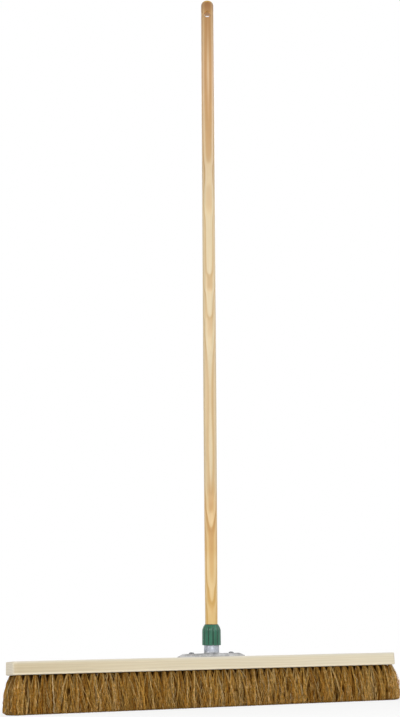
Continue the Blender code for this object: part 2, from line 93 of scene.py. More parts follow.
def aimed(name, data, target, distance, axes):
    """Adds a camera or lamp that looks at a target from a distance."""
    made = bpy.data.objects.new(name, data)
    bpy.context.scene.collection.objects.link(made)
    matrix = np.eye(4)
    matrix[:3, :3] = np.array(axes).T
    matrix[:3, 3] = target + distance * axes[2]
    made.matrix_world = Matrix(matrix.tolist())
    return made


lens = bpy.data.cameras.new("photo_camera")
lens.sensor_width = SENSOR
lens.lens = FOCAL_PIXELS * SENSOR / LONG_SIDE_PIXELS
lens.clip_end = 50.0  # metres
camera = aimed("photo_camera", lens, LOOK_AT, DISTANCE, viewing_axes(TURN, TILT, ROLL))
bpy.context.scene.camera = camera
bpy.context.scene.view_settings.view_transform = "Standard"
print("camera at", np.round(camera.location, 3).tolist(), "m, lens", round(lens.lens, 2), "mm")

# %% [markdown]
# ## Adding to a material
#
# A procedural material is a chain of small nodes. One helper is enough to write it as plain
# lines: it adds a node, sets its options, and fills its sockets with numbers or with what
# another node gives. A colour ramp also takes its stops. Colours are picked on a screen as sRGB
# hex values, while shaders add up light, so one function turns the first into the second.

# %% Colours and nodes
def linear(hex_colour):
    """A linear RGBA colour from an sRGB hex value.

    Each channel is divided by 12.92 where it is dark. Elsewhere 0.055 is added to it, the sum is
    divided by 1.055, and that is raised to 2.4."""
    channels = np.array([int(hex_colour[start : start + 2], 16) / 255 for start in (0, 2, 4)])
    dark = channels / 12.92
    light = ((channels + 0.055) / 1.055) ** 2.4
    return (*np.where(channels <= 0.04045, dark, light).tolist(), 1.0)


def add(tree, kind, sockets=None, output=0, stops=(), **options):
    """Adds a shader node and returns one of its outputs.

    Each socket, by name or number, takes a value or is linked to another node's output. The
    stops of a colour ramp are pairs of a place from 0 to 1 and an sRGB hex value."""
    made = tree.nodes.new("ShaderNode" + kind)
    for option, value in options.items():
        setattr(made, option, value)
    for socket, value in (sockets or {}).items():
        if isinstance(value, bpy.types.NodeSocket):
            tree.links.new(value, made.inputs[socket])
        else:
            made.inputs[socket].default_value = value
    while stops and len(made.color_ramp.elements) < len(stops):
        made.color_ramp.elements.new(0.5)
    for index, (place, hex_colour) in enumerate(stops):
        made.color_ramp.elements[index].position = place
        made.color_ramp.elements[index].color = linear(hex_colour)
    return made.outputs[output]


def new_material(name, principled):
    """A material with a bare Principled shader, its own sockets set, and its node tree."""
    made = bpy.data.materials.new(name)
    made.use_nodes = True
    shader = made.node_tree.nodes["Principled BSDF"]
    for socket, value in principled.items():
        shader.inputs[socket].default_value = value
    return made, made.node_tree, shader


print("mid grey 808080 is", round(linear("808080")[0], 3), "in linear light")

# %% [markdown]
# ## Floor, backdrop and lamps
#
# The photograph is a cut-out on white, lit softly from all round with a little more light from
# the upper left. A white world gives the background, and camera, glossy and transmitted rays see
# it at a strength of 1, which is white. Diffuse light from it is kept lower, so that four soft
# lamps can model the round handle and the collar. A floor as white as the world would lose the
# broom's shadow, and a painted one would end in a horizon. So the floor is pale and takes the
# shadow, but part of what the same rays see of it is plain white. That part grows with the
# distance from the broom until it is all of it, and the floor meets the backdrop unseen.

# %% Floor and backdrop
FLOOR_SIZE = 16.0  # metres
AMBIENT = 0.38  # the world's strength for diffuse light
FLOOR_GLOW = 0.72  # share of the floor's look that is plain white near the broom
FLOOR_FADE = 0.8, 3.2  # metres from the middle: where that share starts to grow, and is 1


def seen_rays(tree):
    """1 for rays that the camera, gloss or glass sends out, and 0 for those of diffuse light."""
    rays = add(tree, "LightPath").node.outputs
    seen = add(
        tree, "Math", {0: rays["Is Camera Ray"], 1: rays["Is Glossy Ray"]}, operation="MAXIMUM"
    )
    return add(tree, "Math", {0: seen, 1: rays["Is Transmission Ray"]}, operation="MAXIMUM")


floor_paint, tree, shader = new_material(
    "matt_white_studio_floor",
    {"Base Color": linear("F2F2F0"), "Roughness": 0.9, "Specular IOR Level": 0.1},
)
place = add(tree, "TexCoord", output="Object")
away = add(tree, "VectorMath", {0: place}, "Value", operation="LENGTH")
near, far = FLOOR_FADE
fade = add(
    tree, "MapRange", {"Value": away, "From Min": near, "From Max": far, "To Min": FLOOR_GLOW}
)
share = add(tree, "Math", {0: seen_rays(tree), 1: fade}, operation="MULTIPLY")
glow = add(tree, "Emission", {"Color": linear("FFFFFF"), "Strength": 1.0})
floor_look = add(tree, "MixShader", {0: share, 1: shader.outputs[0], 2: glow})
tree.links.new(floor_look, tree.nodes["Material Output"].inputs["Surface"])

corner = FLOOR_SIZE / 2
floor_mesh = bpy.data.meshes.new("studio_floor")
floor_mesh.from_pydata(
    [(-corner, -corner, 0), (corner, -corner, 0), (corner, corner, 0), (-corner, corner, 0)],
    [],
    [(0, 1, 2, 3)],
)
floor_mesh.materials.append(floor_paint)
floor = bpy.data.objects.new("studio_floor", floor_mesh)
bpy.context.scene.collection.objects.link(floor)

world = bpy.data.worlds.new("white_studio")
bpy.context.scene.world = world
world.use_nodes = True
tree = world.node_tree
soft = add(tree, "Background", {"Color": linear("FFFFFF"), "Strength": AMBIENT})
white = tree.nodes["Background"]
white.inputs["Color"].default_value = linear("FFFFFF")
sky = add(tree, "MixShader", {0: seen_rays(tree), 1: soft, 2: white.outputs[0]})
tree.links.new(sky, tree.nodes["World Output"].inputs["Surface"])
print("floor", FLOOR_SIZE, "m square, ambient light", AMBIENT)

# %% Lamps
# Each lamp's turn and tilt in degrees, distance and size in metres, and the light that a white
# card in the broom's place would send back.
LAMPS = {
    "softbox_left": (-68, 16, 3.0, 0.9, 0.24),
    "softbox_front": (-16, 14, 3.8, 2.4, 0.34),
    "softbox_right": (55, 20, 3.4, 1.6, 0.18),
    "strip_behind": (150, 40, 3.6, 2.0, 0.25),
}
LAMPS_LOOK_AT = np.array([0.0, -0.05, 0.45])  # metres

for name, (turn, tilt, distance, size, card) in LAMPS.items():
    lamp = bpy.data.lights.new(name, "AREA")
    lamp.shape = "SQUARE"
    lamp.size = size
    # A square lamp of power P lights a white card at distance d to P / (pi d) squared.
    lamp.energy = card * (math.pi * distance) ** 2
    axes = viewing_axes(math.radians(turn), math.radians(tilt))
    aimed(name, lamp, LAMPS_LOOK_AT, distance, axes)
    print(name, round(lamp.energy, 1), "W")

# %% [markdown]
# ## Surfaces as arrays
#
# Each new shape below is a surface worked out as a whole array of points: a grid with one
# parameter along it and one across. The helpers here turn such arrays into meshes, close them,
# give each piece its finish, hang it on the body it rides on, and hide the CAD nodes that it
# stands for.

# %% Turned points
def round_points(radius, angle, height):
    """Points (radius cos angle, radius sin angle, height), for arrays that fit one another."""
    x, y = radius * np.cos(angle), radius * np.sin(angle)
    return np.stack([x, y, height + 0 * x], axis=-1)


def turned(points, angle):
    """Points turned about the upright axis: (x cos - y sin, x sin + y cos, z) of the angle."""
    c, s = math.cos(angle), math.sin(angle)
    return points @ np.array([[c, s, 0], [-s, c, 0], [0, 0, 1]])


# %% Arrays to meshes
def grid_quads(rows, columns, closed=True, first=0):
    """The faces of a grid whose points are numbered row after row.

    Face (i, j) joins points j and j + 1 of row i to the same two of row i + 1. A closed grid
    also joins its last column to its first."""
    row, column = np.meshgrid(
        np.arange(rows - 1), np.arange(columns if closed else columns - 1), indexing="ij"
    )
    here = first + row * columns
    quads = [here + column, here + (column + 1) % columns]
    quads += [quads[1] + columns, quads[0] + columns]
    return np.stack(quads, axis=-1).reshape(-1, 4)


def mesh_of(name, points, *face_arrays):
    """A mesh from an array of points and arrays of faces, one array for each corner count."""
    corners = np.concatenate([np.ravel(faces) for faces in face_arrays])
    counts = np.concatenate([np.full(len(faces), len(faces[0])) for faces in face_arrays])
    mesh = bpy.data.meshes.new(name)
    mesh.vertices.add(len(points))
    mesh.vertices.foreach_set("co", np.asarray(points, np.float32).ravel())
    mesh.loops.add(len(corners))
    mesh.loops.foreach_set("vertex_index", corners.astype(np.int32))
    mesh.polygons.add(len(counts))
    mesh.polygons.foreach_set("loop_start", (np.cumsum(counts) - counts).astype(np.int32))
    mesh.update(calc_edges=True)
    return mesh


def welded(mesh, distance=0.002 * MM, fill_gap=False):
    """Merges the points where patches meet, and turns every face outwards.

    Where a flat gap is left between patches, it can be filled with triangles in between."""
    shape = bmesh.new()
    shape.from_mesh(mesh)
    bmesh.ops.remove_doubles(shape, verts=shape.verts[:], dist=distance)
    if fill_gap:
        rims = [edge for edge in shape.edges if edge.is_boundary]
        bmesh.ops.triangle_fill(shape, edges=rims, use_beauty=True, normal=(0, 0, -1))
    bmesh.ops.recalc_face_normals(shape, faces=shape.faces[:])
    print(mesh.name, "has", sum(edge.is_boundary for edge in shape.edges), "open edges")
    shape.to_mesh(mesh)
    shape.free()
    return mesh


def softened(mesh, degrees=32, flat_over=1.0):
    """Shades a mesh smooth, but keeps its edges sharp where its faces meet at a wide angle.

    Faces over an area in square metres are flat, so no rounded edge bends light across them."""
    mesh.shade_smooth()
    mesh.set_sharp_from_angle(angle=math.radians(degrees))
    areas = np.zeros(len(mesh.polygons))
    mesh.polygons.foreach_get("area", areas)
    mesh.polygons.foreach_set("use_smooth", areas < flat_over)
    return mesh


def piece(name, mesh, finish, body, slot, *nodes):
    """Adds a visible piece: its finish, the body it rides on, and the CAD nodes it replaces."""
    made = bpy.data.objects.new(name, mesh)
    bpy.context.scene.collection.objects.link(made)
    mesh.materials.append(finish)
    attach(made, body)
    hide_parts(*nodes)
    mesh.calc_loop_triangles()
    size = np.round(np.array(made.dimensions) / MM, 1).tolist()
    print(name, len(mesh.loop_triangles), "triangles,", size, "mm")
    return made


# %% [markdown]
# ## Coir
#
# Coir is the coarse red-brown fibre from a coconut's husk. For a broom it is bundled into tufts
# of some hundred fibres, each folded into a drilled hole, and then the whole face is trimmed
# level. A tuft leaves its hole as a tight round bundle and opens towards its trimmed tips, so
# there are dark gaps at the roots, while the tips of neighbouring tufts run together. The fibres
# are wavy, cling together in locks, and some locks stray. The tufts at the edges lean outwards.
#
# A texture on solid blocks would show none of this at the outline. The fibres could be Blender
# hair, but hair has no faces to export. Here each fibre is a thin three-sided tube that bends
# along thirteen rings, and all the fibres of a row are worked out together as one array. The real
# fibre is 0.2 to 0.4 mm thick, finer than a pixel, so these are drawn about twice as thick.

# %% The tufts' layout
STOCK_LOW, STOCK_HIGH = (np.array(corner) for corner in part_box("stock"))
TRIM = STOCK_LOW[2]  # from the trimmed tips at the floor to the wood
ROWS, LONG_ROW = 5, 51  # every other row has one tuft fewer, half a pitch over
BARE_RIM = 4.0 * MM  # of the underside, round the drilled field
FIELD = STOCK_HIGH[:2] - BARE_RIM  # half the length and half the width of the drilled field
PITCH = 2 * FIELD[0] / LONG_ROW
ROW_PITCH = 2 * FIELD[1] / ROWS
OUTER_ROW = (ROWS - 1) / 2 * ROW_PITCH  # from the head's middle
HOLE_RADIUS = 4.1 * MM
HOLE_DEPTH = 3.0 * MM  # the part of the hole that is modelled


def tuft_centres(row):
    """The X of each tuft in a row, and the row's Y."""
    tufts = LONG_ROW - row % 2
    return (np.arange(tufts) - (tufts - 1) / 2) * PITCH, (row - (ROWS - 1) / 2) * ROW_PITCH


print("tuft pitch", round(PITCH / MM, 2), "mm, row pitch", round(ROW_PITCH / MM, 2), "mm")

# %% Locks of fibre
RINGS = 13  # along a fibre
LOCKS, END_LOCKS = 20, 60  # of a tuft, and of the last tufts at the head's ends
FIBRE_RADIUS = 0.44 * MM
SPOT_OF_LOCK, SPOT_OF_FIBRE = 0.85, 0.15  # what a fibre's place in its hole is made of
LOCK_TURN = 0.4  # radians that a lock may be turned out of its even place
SPREAD = np.array([24.0, 9.0]) * MM  # of a tuft's tips along and across the head
CHANCE, END_CHANCE, FIBRE_CHANCE = 0.5, 0.3, 0.05  # added to the even fan, in shares of the spread
STRAY_SHARE, STRAY_SPREAD = 0.2, 1.7  # of the locks: so many stand so much further off by chance
HELD_OUTWARDS, HELD_INWARDS = 0.8, [0.2, 0.0]  # share of the spread that the outermost tufts lose
HELD_POWER = 6  # keeps that loss to the outermost
SIDE_LEAN, END_LEAN = 11.0 * MM, 10.0 * MM  # of the outer rows' tips and of the last tufts' tips
END_POWER = 3.5  # keeps the lean to the last few tufts
CURL_BACK = 0.22  # share of the lean that a fibre gives back at its very tip
GOLDEN_TURN = np.pi * (3 - 5**0.5)  # from lock to lock, fills a disc evenly
END_SHARE = 3  # the fibres of the last tuft at each end, against the others
QUICK, END_QUICK = 0.1, 0.6  # share of the spread that is made close under the wood
FURTHEST = np.array([463.5, 44.0]) * MM  # no fibre is further from the head's middle
END_MARGIN = 5.0 * MM  # moves the outer face past the end tufts, which gives them a little more of the painted shade
TRIM_CHANCE = 0.8 * MM  # how unevenly the fibres are cut
# The trim turns up this far inside the field's ends, along an arc of this radius.
TRIM_START, TRIM_RADIUS = 6.0 * MM, 20.0 * MM
LOCK_TONE = 0.7  # share of a fibre's tone that it has from its lock
# Sideways swings, each with its size, the range that this is multiplied by, and the range of
# waves along a fibre: a lock's slow one, a lock's quick one, and a fibre's own.
WAVE = 2.1 * MM, (0.3, 1.5), (0.7, 1.9)
CRIMP = 1.8 * MM, (0.3, 1.7), (2.5, 4.5)
RIPPLE = 0.3 * MM, (0.2, 1.8), (2.0, 4.5)
SWING_POWER = 0.6  # under 1, so that a swing is wide soon after the wood


def disc(turn, share):
    """Points of the unit disc from a turn and an even random share, whose root is the radius."""
    return np.stack([np.cos(turn), np.sin(turn)], axis=-1) * np.sqrt(share)[..., None]


def sway(t, size, waves, phase, heading):
    """A sideways sine wave along each fibre, that grows from nothing at the wood."""
    wave = np.sin(2 * np.pi * waves[..., None] * t + phase[..., None])
    wave = wave * size[..., None] * t**SWING_POWER
    return wave[..., None] * np.stack([np.cos(heading), np.sin(heading)], axis=-1)[..., None, :]


def fibre_paths(row, count, locks, quick, chance, rng):
    """The centre line of each fibre as (fibre, ring, 3), and two numbers for each ring.

    A fibre starts at a spot in its hole that it nearly shares with its lock. Its spread is that
    spot plus a normal chance, larger for a stray lock, times SPREAD, so a tuft opens as an even
    fan with some disorder. A quick share of it grows along 1 - (1 - t) to the fourth and the
    rest along t. In the outermost tufts the spread is held in. The tuft's own lean grows along
    1 - (1 - t) squared, less what curls back along t to the fifth. Swings are added, and
    FURTHEST clips the result. The height falls evenly from inside the hole to the trim, which
    rises towards the head's ends by distance squared over twice its radius, as an arc does.

    The two numbers are the fibre's tone, from 0 to 1, and how far inside the brush's outer face
    the ring is, in metres, where the face leans as the outer tufts do."""
    x, y = tuft_centres(row)
    lock = np.arange(count) % locks

    # Even chances between two values: one for each lock, or one for each fibre.
    def of_locks(low, high):
        return rng.uniform(low, high, (len(x), locks))[:, lock]

    def of_fibres(low, high):
        return rng.uniform(low, high, (len(x), count))

    turn = lock * GOLDEN_TURN + rng.uniform(0, 2 * np.pi, (len(x), 1))
    turn = turn + of_locks(-LOCK_TURN, LOCK_TURN)
    spot = SPOT_OF_LOCK * disc(turn, (lock + of_locks(0, 1)) / locks)
    spot += SPOT_OF_FIBRE * disc(of_fibres(0, 2 * np.pi), of_fibres(0, 1))
    root = spot * (HOLE_RADIUS - FIBRE_RADIUS)
    root += np.stack([x[:, None] + 0 * spot[..., 0], y + 0 * spot[..., 0]], axis=-1)
    stray = np.where(of_locks(0, 1) < STRAY_SHARE, STRAY_SPREAD, 1.0)[..., None]
    apart = rng.normal(0, chance, (len(x), locks, 2))[:, lock] * stray
    apart += rng.normal(0, FIBRE_CHANCE, (len(x), count, 2))
    spread = (spot + apart) * SPREAD
    side = np.stack([x / x[-1], 0 * x + y / OUTER_ROW], axis=-1)  # from -1 to 1 each way
    outside = np.abs(side[:, None, :]) ** HELD_POWER
    outwards = spread * np.sign(side[:, None, :]) > 0
    spread = spread * (1 - np.where(outwards, HELD_OUTWARDS, HELD_INWARDS) * outside)
    endward = np.sign(x) * np.abs(side[:, 0]) ** END_POWER
    lean = np.stack([END_LEAN * endward, SIDE_LEAN * side[:, 1]], axis=-1)
    t = np.linspace(0, 1, RINGS)
    flare = quick * (1 - (1 - t) ** 4) + (1 - quick) * t
    curl = 1 - (1 - t) ** 2 - CURL_BACK * t**5
    across = root[:, :, None, :] + spread[:, :, None, :] * flare[:, None]
    across = across + lean[:, None, None, :] * curl[:, None]
    for drawn, (size, size_range, wave_range) in (
        (of_locks, WAVE),
        (of_locks, CRIMP),
        (of_fibres, RIPPLE),
    ):
        waves, phase, heading = drawn(*wave_range), drawn(0, 2 * np.pi), drawn(0, 2 * np.pi)
        across = across + sway(t, size * drawn(*size_range), waves, phase, heading)
    across = np.clip(across, -FURTHEST, FURTHEST)
    trimmed = np.abs(rng.normal(0, TRIM_CHANCE, spot.shape[:2]))
    past = np.clip(np.abs(across[:, :, -1, 0]) - FIELD[0] + TRIM_START, 0, None)
    trimmed += past**2 / (2 * TRIM_RADIUS)
    height = (TRIM + HOLE_DEPTH) * (1 - t) + trimmed[..., None] * t
    tone = LOCK_TONE * of_locks(0, 1) + (1 - LOCK_TONE) * of_fibres(0, 1)
    edge = np.array([x[-1] + END_MARGIN, OUTER_ROW])
    edge = edge + np.outer(curl, [END_LEAN, SIDE_LEAN])
    inside = (edge - np.abs(across)).min(axis=-1).reshape(-1, RINGS)
    paths = np.concatenate([across, height[..., None]], axis=-1).reshape(-1, RINGS, 3)
    return paths, np.repeat(tone.ravel(), RINGS).reshape(-1, RINGS), inside


# %% Rows of tubes
THINNEST, THICKEST = 0.75, 1.25  # of the fibres, in shares of FIBRE_RADIUS
TIP_WIDTH = 0.7  # a fibre's width at its tip, against that at the wood
SEED = 41


def tubes(name, paths, rng, **attributes):
    """Many thin three-sided tubes as one mesh, with a number for each ring under each attribute.

    Each ring of a tube is a triangle that is level, as the trimmed tip is, and is turned by
    chance from fibre to fibre. The tube thins evenly towards its tip."""
    fibres = len(paths)
    turn = rng.uniform(0, 2 * np.pi, fibres)[:, None] + np.arange(3) * 2 * np.pi / 3
    ring = np.stack([np.cos(turn), np.sin(turn), 0 * turn], axis=-1)
    thick = FIBRE_RADIUS * rng.uniform(THINNEST, THICKEST, fibres)[:, None]
    thick = thick * np.linspace(1, TIP_WIDTH, RINGS)
    points = paths[:, :, None, :] + ring[:, None, :, :] * thick[:, :, None, None]
    start = (np.arange(fibres) * RINGS * 3)[:, None]
    quads = (start[:, :, None] + grid_quads(RINGS, 3)).reshape(-1, 4)
    ends = np.concatenate([start + np.array([2, 1, 0]), start + 3 * RINGS - 3 + np.arange(3)])
    mesh = mesh_of(name, points.reshape(-1, 3), quads, ends)
    mesh.shade_smooth()
    for attribute, values in attributes.items():
        layer = mesh.attributes.new(attribute, "FLOAT", "POINT")
        layer.data.foreach_set("value", np.repeat(values, 3).astype(np.float32))
    return mesh


def coir_row(row, count, finish):
    """One row of tufts as a left and a right piece, so that neither has too many faces.

    Nothing stands behind the last tuft at each end, so it takes its fibres from a denser row."""
    rng = np.random.default_rng(SEED + row)
    plain = fibre_paths(row, count, LOCKS, QUICK, CHANCE, rng)
    dense = fibre_paths(row, END_SHARE * count, END_LOCKS, END_QUICK, END_CHANCE, rng)
    end, half = END_SHARE * count, len(plain[0]) // 2
    for side, chosen, last in (
        ("left", slice(count, half), slice(None, end)),
        ("right", slice(half, -count), slice(-end, None)),
    ):
        name = f"coir_row_{row + 1}_{side}"
        paths, tone, inside = (
            np.concatenate([most[chosen], few[last]]) for most, few in zip(plain, dense)
        )
        mesh = tubes(name, paths, rng, fibre_tone=tone, inside=inside)
        piece(name, mesh, finish, "head", "coir", f"tuft_row_{row + 1}")


# %% Coir finish
# Retted coconut husk fibre, raw and unpolished: a dull brown to straw. Each fibre has its own
# tone, with paler and darker patches some millimetres wide. Painted shade makes it darker at the
# wood and at the very tips. Deep between the rows painted shade makes the fibres darker and a
# painted bounce light warmer, less so near their tips; loose fibres outside get a painted
# highlight.
coir, tree, shader = new_material(
    "raw_coconut_coir", {"Roughness": 0.8, "IOR": 1.54, "Specular IOR Level": 0.1}
)
tone = add(tree, "Attribute", attribute_name="fibre_tone", output="Fac")
straws = [(0.0, "875515"), (0.25, "A9762A"), (0.55, "C79B4C"), (0.8, "D7B476"), (1.0, "E2CA9C")]
shade = add(tree, "ValToRGB", {"Fac": tone}, stops=straws)
place = add(tree, "TexCoord", output="Object")
patch = add(tree, "TexNoise", {"Vector": place, "Scale": 1 / (5 * MM), "Detail": 1.0})
patch = add(
    tree,
    "MapRange",
    {"Value": patch, "From Min": 0.35, "From Max": 0.65, "To Min": 0.77, "To Max": 1.22},
)
shade = add(tree, "VectorMath", {0: shade, "Scale": patch}, operation="SCALE")
up = add(tree, "SeparateXYZ", {0: place}, output="Z")
up = add(tree, "MapRange", {"Value": up, "From Max": TRIM})
# painted shade: the fibres are darker at the wood, under the board, and at the very tips
shade_greys = [(0.0, "C4C4C4"), (0.04, "FFFFFF"), (0.7, "F8F8F8"), (1.0, "D6D6D6")]
root_and_tip_shade = add(tree, "ValToRGB", {"Fac": up}, stops=shade_greys)
shade = add(tree, "VectorMath", {0: shade, 1: root_and_tip_shade}, operation="MULTIPLY")
# painted shade: the deeper a fibre lies inside the brush, the darker it is; loose fibres outside
# its face get a painted highlight
inside = add(tree, "Attribute", attribute_name="inside", output="Fac")
deepest = add(
    tree,
    "MapRange",
    {"Value": up, "From Min": 0.02, "From Max": 0.12, "To Min": 0.75, "To Max": 0.3},
)
light = add(
    tree,
    "MapRange",
    {
        "Value": inside,
        "From Min": -4 * MM,  # of loose fibres outside the brush's face
        "From Max": 7 * MM,  # from here on it is no darker
        "To Min": 1.25,
        "To Max": deepest,
    },
)
shade = add(tree, "VectorMath", {0: shade, "Scale": light}, operation="SCALE")
# painted bounce light: the buried fibres are tinted warmer
buried = add(tree, "MapRange", {"Value": inside, "From Max": 7 * MM})
painted_bounce_warmth = add(tree, "ValToRGB", {"Fac": buried}, stops=[(0.0, "FFFFFF"), (1.0, "FFE4A8")])
shade = add(tree, "VectorMath", {0: shade, 1: painted_bounce_warmth}, operation="MULTIPLY")
tree.links.new(shade, shader.inputs["Base Color"])

# %% The five rows
EDGE_ROW_FIBRES, INNER_ROW_FIBRES = 64, 60
for row in range(ROWS):
    coir_row(row, EDGE_ROW_FIBRES if row in (0, ROWS - 1) else INNER_ROW_FIBRES, coir)

# %% [markdown]
# ## The head board
#
# The head, or stock, is one board of pale softwood, planed on its four long sides and sawn off
# at the ends, with its edges eased and five rows of holes drilled in its underside. A box with
# a Bevel modifier would give the outside, but not the holes. So the outside is a band of
# outlines, one above the other, and the underside is a lattice of cells, each with a hole in its
# middle. The flat ring between the lattice and the outside is filled last.

# %% The board's outline
CORNER = 8.0 * MM  # radius of the upright corners
TOP_EASE, FOOT_EASE = 1.8 * MM, 3.2 * MM  # radius of the upper and lower long edges
CORNER_STEPS, EASE_STEPS = 8, 6
BROAD_FACE = 60 * MM * MM  # faces over this area are the board's flats


def board_outline(inset, height):
    """A rounded rectangle at some heights, drawn in by an inset at each.

    The corner arcs keep their centres, so a point is a centre plus (radius - inset) times its
    direction. Both arguments are arrays, and the result is (height, point, 3)."""
    quarter = np.linspace(0, np.pi / 2, CORNER_STEPS)
    angle = (np.arange(4)[:, None] * np.pi / 2 + quarter).ravel()
    reach = STOCK_HIGH[:2] - CORNER
    centre = np.repeat(np.array([[1, 1], [-1, 1], [-1, -1], [1, -1]]) * reach, CORNER_STEPS, axis=0)
    outline = round_points((CORNER - inset)[:, None], angle, height[:, None])
    outline[..., :2] += centre
    return outline


def board_sides():
    """The band of outlines from the underside's edge to the top's, with both edges rounded.

    Each edge is a quarter circle: it is drawn in by r (1 - cos a) and rises by r sin a."""
    a = np.linspace(np.pi / 2, 0, EASE_STEPS)
    inset = np.concatenate([FOOT_EASE * (1 - np.cos(a)), TOP_EASE * (1 - np.cos(a[::-1]))])
    foot = STOCK_LOW[2] + FOOT_EASE * (1 - np.sin(a))
    top = STOCK_HIGH[2] - TOP_EASE * (1 - np.sin(a[::-1]))
    return board_outline(inset, np.concatenate([foot, top]))


# %% The drilled underside
ALONG, ACROSS = 4, 2  # steps of a cell's edge along and across the head
WALL_RINGS = 3


def cell_border(steps=ALONG):
    """The points round a cell, from -0.5 to 0.5 each way, counterclockwise from below."""
    along = np.arange(steps) / steps - 0.5
    across = np.arange(ACROSS) / ACROSS - 0.5
    low, high = np.full(steps, 0.5), np.full(ACROSS, 0.5)
    x = np.concatenate([along, high, -along, -high])
    y = np.concatenate([-low, across, low, -across])
    return np.stack([x, y], axis=-1)


def drilled_cells():
    """Every drilled cell as rings of points: its border, the hole's mouth, and the hole's wall.

    Each ring has the border's point count, and a hole's point lies in the direction of its
    border point, (x, y) scaled to the hole's radius."""
    border = cell_border() * [PITCH, ROW_PITCH]
    mouth = border / np.linalg.norm(border, axis=1)[:, None] * HOLE_RADIUS
    rise = np.linspace(0, HOLE_DEPTH, WALL_RINGS)
    rings = [np.column_stack([border, np.zeros(len(border))])]
    rings += [np.column_stack([mouth, np.full(len(mouth), up)]) for up in rise]
    cell = np.stack(rings)
    centres = [(x, tuft_centres(row)[1]) for row in range(ROWS) for x in tuft_centres(row)[0]]
    shift = np.column_stack([np.array(centres), np.full(len(centres), STOCK_LOW[2])])
    return cell[None] + shift[:, None, None, :]


def bare_cells():
    """The half cells at both ends of the shorter rows, which have no hole."""
    border = cell_border(ALONG // 2) * [PITCH / 2, ROW_PITCH]
    ends = [
        (side * (FIELD[0] - PITCH / 4), tuft_centres(row)[1])
        for row in range(1, ROWS, 2)
        for side in (-1, 1)
    ]
    shift = np.column_stack([np.array(ends), np.full(len(ends), STOCK_LOW[2])])
    flat = np.column_stack([border, np.zeros(len(border))])
    return flat[None] + shift[:, None, :]


cells, blanks = drilled_cells(), bare_cells()
print(len(cells), "holes in", ROWS, "rows, and", len(blanks), "bare half cells")

# %% One closed board
def closed_board():
    """The board's sides, top and drilled underside as one closed mesh.

    The underside's flat ring, between the lattice of cells and the rounded edge, is filled with
    triangles once the points of neighbouring cells are merged."""
    sides, rings, points_round = board_sides(), cells.shape[1], cells.shape[2]
    parts, faces = [sides.reshape(-1, 3)], [grid_quads(len(sides), sides.shape[1])]
    top = np.arange(sides.shape[1]) + (len(sides) - 1) * sides.shape[1]
    first = sides.shape[0] * sides.shape[1]
    starts = first + np.arange(len(cells))[:, None] * rings * points_round
    faces.append((starts[:, :, None] + grid_quads(rings, points_round)).reshape(-1, 4))
    floors = starts + (rings - 1) * points_round + np.arange(points_round)
    blank_starts = first + cells.size // 3 + np.arange(len(blanks))[:, None] * blanks.shape[1]
    parts += [cells.reshape(-1, 3), blanks.reshape(-1, 3)]
    bare = blank_starts + np.arange(blanks.shape[1])
    mesh = mesh_of("head_board", np.concatenate(parts), *faces, floors, bare, top[None])
    return softened(welded(mesh, fill_gap=True), flat_over=BROAD_FACE)


# %% [markdown]
# ## Wood
#
# Both wooden pieces are softwood, and what the eye reads as wood is its growth rings. A tree
# lays down pale early wood and then a thin, darker band of late wood each year, in rings about
# the pith. Cut a board or turn a pole from a plank, and those rings come out as lines, or, where
# they graze the surface, as the long pointed arches that joiners call cathedral grain. So the
# pattern is not painted on: it is a solid pattern of rings about a pith line outside the piece,
# and the surface cuts through it as a saw would. The board's grain runs along X, the handle's
# along its own axis, so each first turns the coordinates until the grain runs along Z.

# %% Growth rings
WOBBLE = (45, 45, 3.5)  # waves a metre across the grain and along it
STREAK_LENGTH = 60  # of a streak of fibre, in its own widths


def growth_rings(tree, grain, pith, ring_width, wobble, drift=None):
    """How far each point is through its year's ring, from 0, early wood, to 1, late wood.

    That is the distance from the pith line, in ring widths, plus a slow random wobble and a
    drift along the grain, less its whole part."""
    flat = add(tree, "VectorMath", {0: grain, 1: (1, 1, 0)}, operation="MULTIPLY")
    away = add(tree, "VectorMath", {0: flat, 1: (*pith, 0)}, "Value", operation="DISTANCE")
    slow = add(tree, "Mapping", {"Vector": grain, "Scale": WOBBLE})
    chance = add(tree, "TexNoise", {"Vector": slow, "Scale": 1.0, "Detail": 2.0})
    bend = add(tree, "Math", {0: chance, 1: wobble, 2: -wobble / 2}, operation="MULTIPLY_ADD")
    if drift is not None:
        bend = add(tree, "Math", {0: bend, 1: drift}, operation="ADD")
    years = add(tree, "Math", {0: away, 1: 1 / ring_width, 2: bend}, operation="MULTIPLY_ADD")
    return add(tree, "Math", {0: years}, operation="FRACT")


def fibre_streaks(tree, grain, width, low, high):
    """A factor between two values that varies from fibre to fibre: stretched noise."""
    scale = (1 / width, 1 / width, 1 / width / STREAK_LENGTH)
    stretched = add(tree, "Mapping", {"Vector": grain, "Scale": scale})
    noise = add(tree, "TexNoise", {"Vector": stretched, "Scale": 1.0, "Detail": 3.0})
    return add(
        tree,
        "MapRange",
        {"Value": noise, "From Min": 0.3, "From Max": 0.7, "To Min": low, "To Max": high},
    )


# %% Whitewood
# Planed whitewood, a pale European spruce, left bare: cream early wood, faint straw late wood,
# and a dry surface with no gloss but a slight sheen along the planed faces. Painted shade makes
# the board a little darker towards its left end. Its eased lower edge is paler, a painted highlight
# of light from below, and its upper edge is greyer. The sawn ends are duller end grain.
BOARD_RING, BOARD_PITH = 5.5 * MM, (-170 * MM, 26 * MM)  # far below, so the rings run level
BOARD_WOBBLE, BOARD_STREAK = 2.2, 1.1 * MM
# From the underside and from the top: where each edge's tint starts, and where it is full. The
# lower tint is a painted highlight.
LOW_EDGE_HIGHLIGHT, HIGH_EDGE = (4.2 * MM, 2.6 * MM), (6 * MM, 1 * MM)

